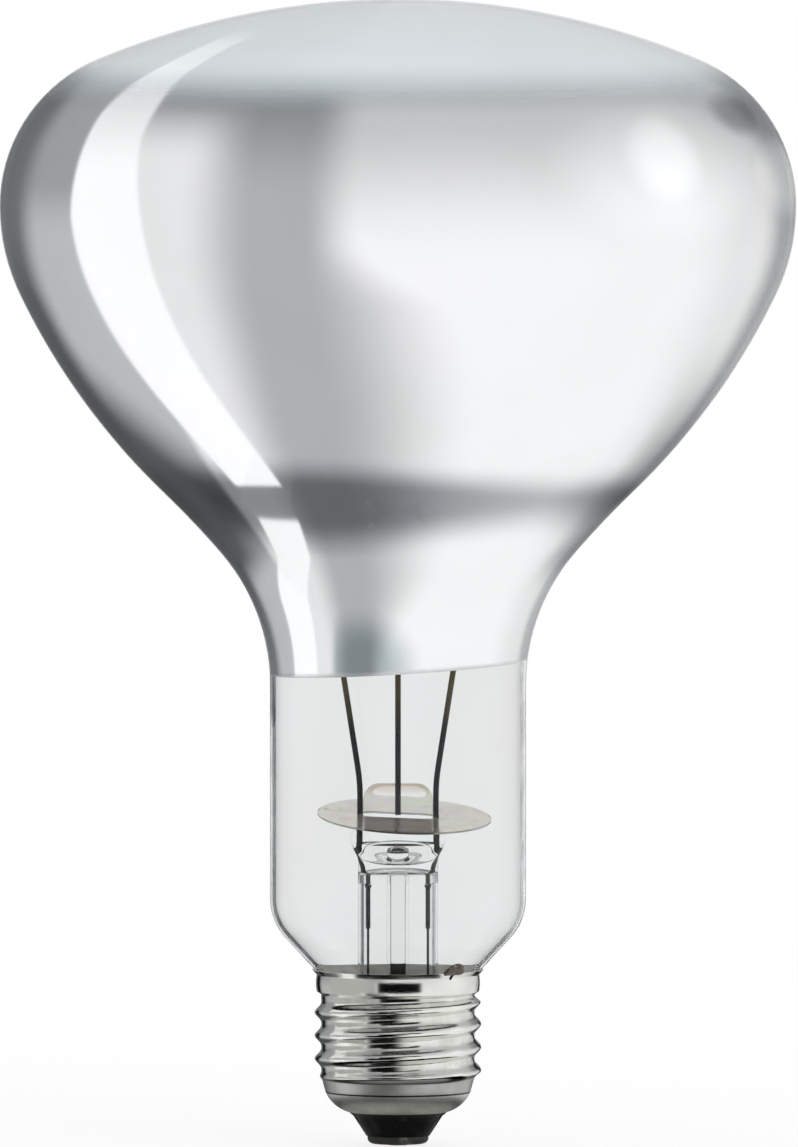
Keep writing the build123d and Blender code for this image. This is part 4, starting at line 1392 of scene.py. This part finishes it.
        # The view, matt surfaces and clear glass get plain white in place of the boxes
        path = bench.node("ShaderNodeLightPath")
        mirrored = bench.math("MINIMUM", path.out("Glossy Depth"), 1.0)
        through = path.out("Is Transmission Ray") * (1.0 - mirrored)
        direct = bench.math("MAXIMUM", path.out("Is Camera Ray"), path.out("Is Diffuse Ray"))
        backdrop = bench.math("MAXIMUM", direct, through)
        lit = bench.node("ShaderNodeBackground", None, {"Color": cool, "Strength": light})
        white = bench.node("ShaderNodeBackground", None, {"Color": WHITE, "Strength": 1.0})
        surface = bench.blend(backdrop, lit, white)
        bench.node("ShaderNodeOutputWorld", None, {"Surface": surface})
        return world

    def box_light(self, bench, side, lean):
        """Large box from the middle round to the right, with hot spots and dark corners."""
        ramp = bench.ramp

        def spot(side_middle, lean_middle, side_reach, lean_reach):
            """1 in the middle of an oval, 0 outside it."""
            across = (side - side_middle) / side_reach
            along = (lean - lean_middle) / lean_reach
            return 1.0 - ramp(across * across + along * along, 0.0, 1.0)

        box = 0.567 + 0.38 * ramp(lean, -42.0, 14.0)
        box = box * (1.0 - 0.12 * ramp(side, 45.0, 62.0) - 0.4 * ramp(side, 66.0, 76.0))
        box = box * (1.0 - 0.35 * ramp(side, 38.0, 60.0) * ramp(lean, 41.0, 45.0))
        box = box + 0.18 * spot(44.0, -23.0, 9.0, 20.0)
        box = box + 0.13 * spot(46.0, -19.0, 26.0, 30.0)
        box = box + 0.2 * spot(78.0, -14.0, 14.0, 17.0)
        box = box * (1.0 - 0.45 * spot(68.0, -39.0, 10.0, 12.0))
        return box * (1.0 - 0.45 * ramp(side, 54.0, 68.0) * ramp(lean, 27.0, 42.0))

    def left_light(self, bench, side, lean):
        """Dim column left of the box, then a paler patch, and the dark beyond the strip."""
        ramp = bench.ramp
        column = 0.285 + 0.165 * ramp(lean, -48.0, -8.0)
        patch = ramp(-side, 21.5, 34.0) * ramp(lean, -52.0, -20.0)
        inner = column + (0.815 - column) * patch
        outer = 0.36 + 0.155 * ramp(lean, -14.0, 6.0)
        outer = outer * (1.0 - 0.78 * ramp(lean - 0.5 * (side + 65.0), 28.0, 40.0))
        edge = 0.185 - 0.085 * ramp(lean, 0.0, 40.0)
        outer = outer + (edge - outer) * ramp(-side, 65.0, 74.0)
        return inner + (outer - inner) * ramp(-side, 44.0, 47.0)

    def table_shade(self, bench, side, lean):
        """How much the dark table below takes away."""
        ramp = bench.ramp
        rise = 2.0 * ramp(side, -25.0, 45.0)
        dark = 0.7 - 0.2 * ramp(side, -5.0, 40.0) - 0.45 * ramp(-side, 46.0, 60.0)
        return dark * ramp(lean - rise, 40.3, 44.2)

    def strip_light(self, bench, side, lean):
        """Strip with sharp edges, cut off below and dimmer above: its share and its brightness."""
        ramp = bench.ramp
        bend = ramp(lean, 24.0, 50.0)
        left = 0.09 * bench.math("MAXIMUM", lean, 0.0) + 12.0 * bend - 55.4
        left = left + 3.5 * ramp(-lean, 36.0, 70.0)
        right = 0.09 * bench.math("MAXIMUM", lean, -30.0) + 9.5 * bend - 40.3
        strip = ramp(side - left, -0.5, 0.5) * ramp(right - side, -0.5, 0.5)
        strip = strip * (1.0 - ramp(lean, 43.9, 44.5)) * (1.0 - ramp(-lean, 70.0, 76.0))
        glare = 1.02 - 0.2 * ramp(-lean, 15.0, 45.0)
        glare = glare + 0.8 * ramp(-lean, 42.0, 62.0) - 0.5 * ramp(-lean, 64.0, 71.0)
        return strip, glare

    def aim_camera(self, scene, studio):
        """Long lens, a little above level, framed as the photograph is."""
        data = bpy.data.cameras.new("camera")
        camera = add_object("camera", data)
        target = Vector((studio.aim_side, 0.0, studio.aim_height))
        back = Vector((0.0, -cos(studio.camera_lift), sin(studio.camera_lift)))
        camera.location = target + back * studio.camera_distance
        camera.rotation_mode = "QUATERNION"
        camera.rotation_quaternion = (-back).to_track_quat("-Z", "Y")
        data.sensor_width = 1000 * studio.sensor_width
        data.lens = data.sensor_width * studio.camera_distance / studio.view_height
        data.clip_end = studio.camera_distance + studio.floor_size
        scene.camera = camera


OPERATORS = (
    LAMP_OT_bulb,
    LAMP_OT_stem,
    LAMP_OT_shield,
    LAMP_OT_wires,
    LAMP_OT_coil,
    LAMP_OT_cap,
    LAMP_OT_contact,
    LAMP_OT_rim,
    LAMP_OT_stage,
)


class LAMP_PT_sidebar(bpy.types.Panel):
    """Lists the lamp's pieces and sizes"""

    bl_idname = "LAMP_PT_sidebar"
    bl_label = "Infrared lamp"
    bl_space_type = "VIEW_3D"
    bl_region_type = "UI"
    bl_category = "Lamp"

    def draw(self, context):
        for operator in OPERATORS:
            self.layout.operator(operator.bl_idname)
        for name in GROUPS:
            group = getattr(context.scene, name)
            box = self.layout.box()
            box.label(text=GROUPS[name].__doc__)
            for prop in group.bl_rna.properties:
                if prop.identifier not in ("rna_type", "name"):
                    box.prop(group, prop.identifier)


GROUPS = {
    "lamp_bulb": BulbSizes,
    "lamp_stem": StemSizes,
    "lamp_cap": CapSizes,
    "lamp_coil": CoilSizes,
    "lamp_colours": LampColours,
    "lamp_studio": StudioSizes,
}
CLASSES = (*GROUPS.values(), *OPERATORS, LAMP_PT_sidebar)


def register():
    for item in CLASSES:
        bpy.utils.register_class(item)
    for name, group in GROUPS.items():
        setattr(bpy.types.Scene, name, PointerProperty(type=group))


def unregister():
    for name in GROUPS:
        delattr(bpy.types.Scene, name)
    for item in reversed(CLASSES):
        bpy.utils.unregister_class(item)


def main():
    """Dresses the lamp and sets up its studio."""
    register()
    bpy.ops.lamp.bulb()
    bpy.ops.lamp.stem()
    bpy.ops.lamp.shield()
    bpy.ops.lamp.wires()
    bpy.ops.lamp.coil()
    bpy.ops.lamp.cap()
    bpy.ops.lamp.contact()
    bpy.ops.lamp.rim()
    bpy.ops.lamp.stage()


if __name__ == "__main__":
    main()
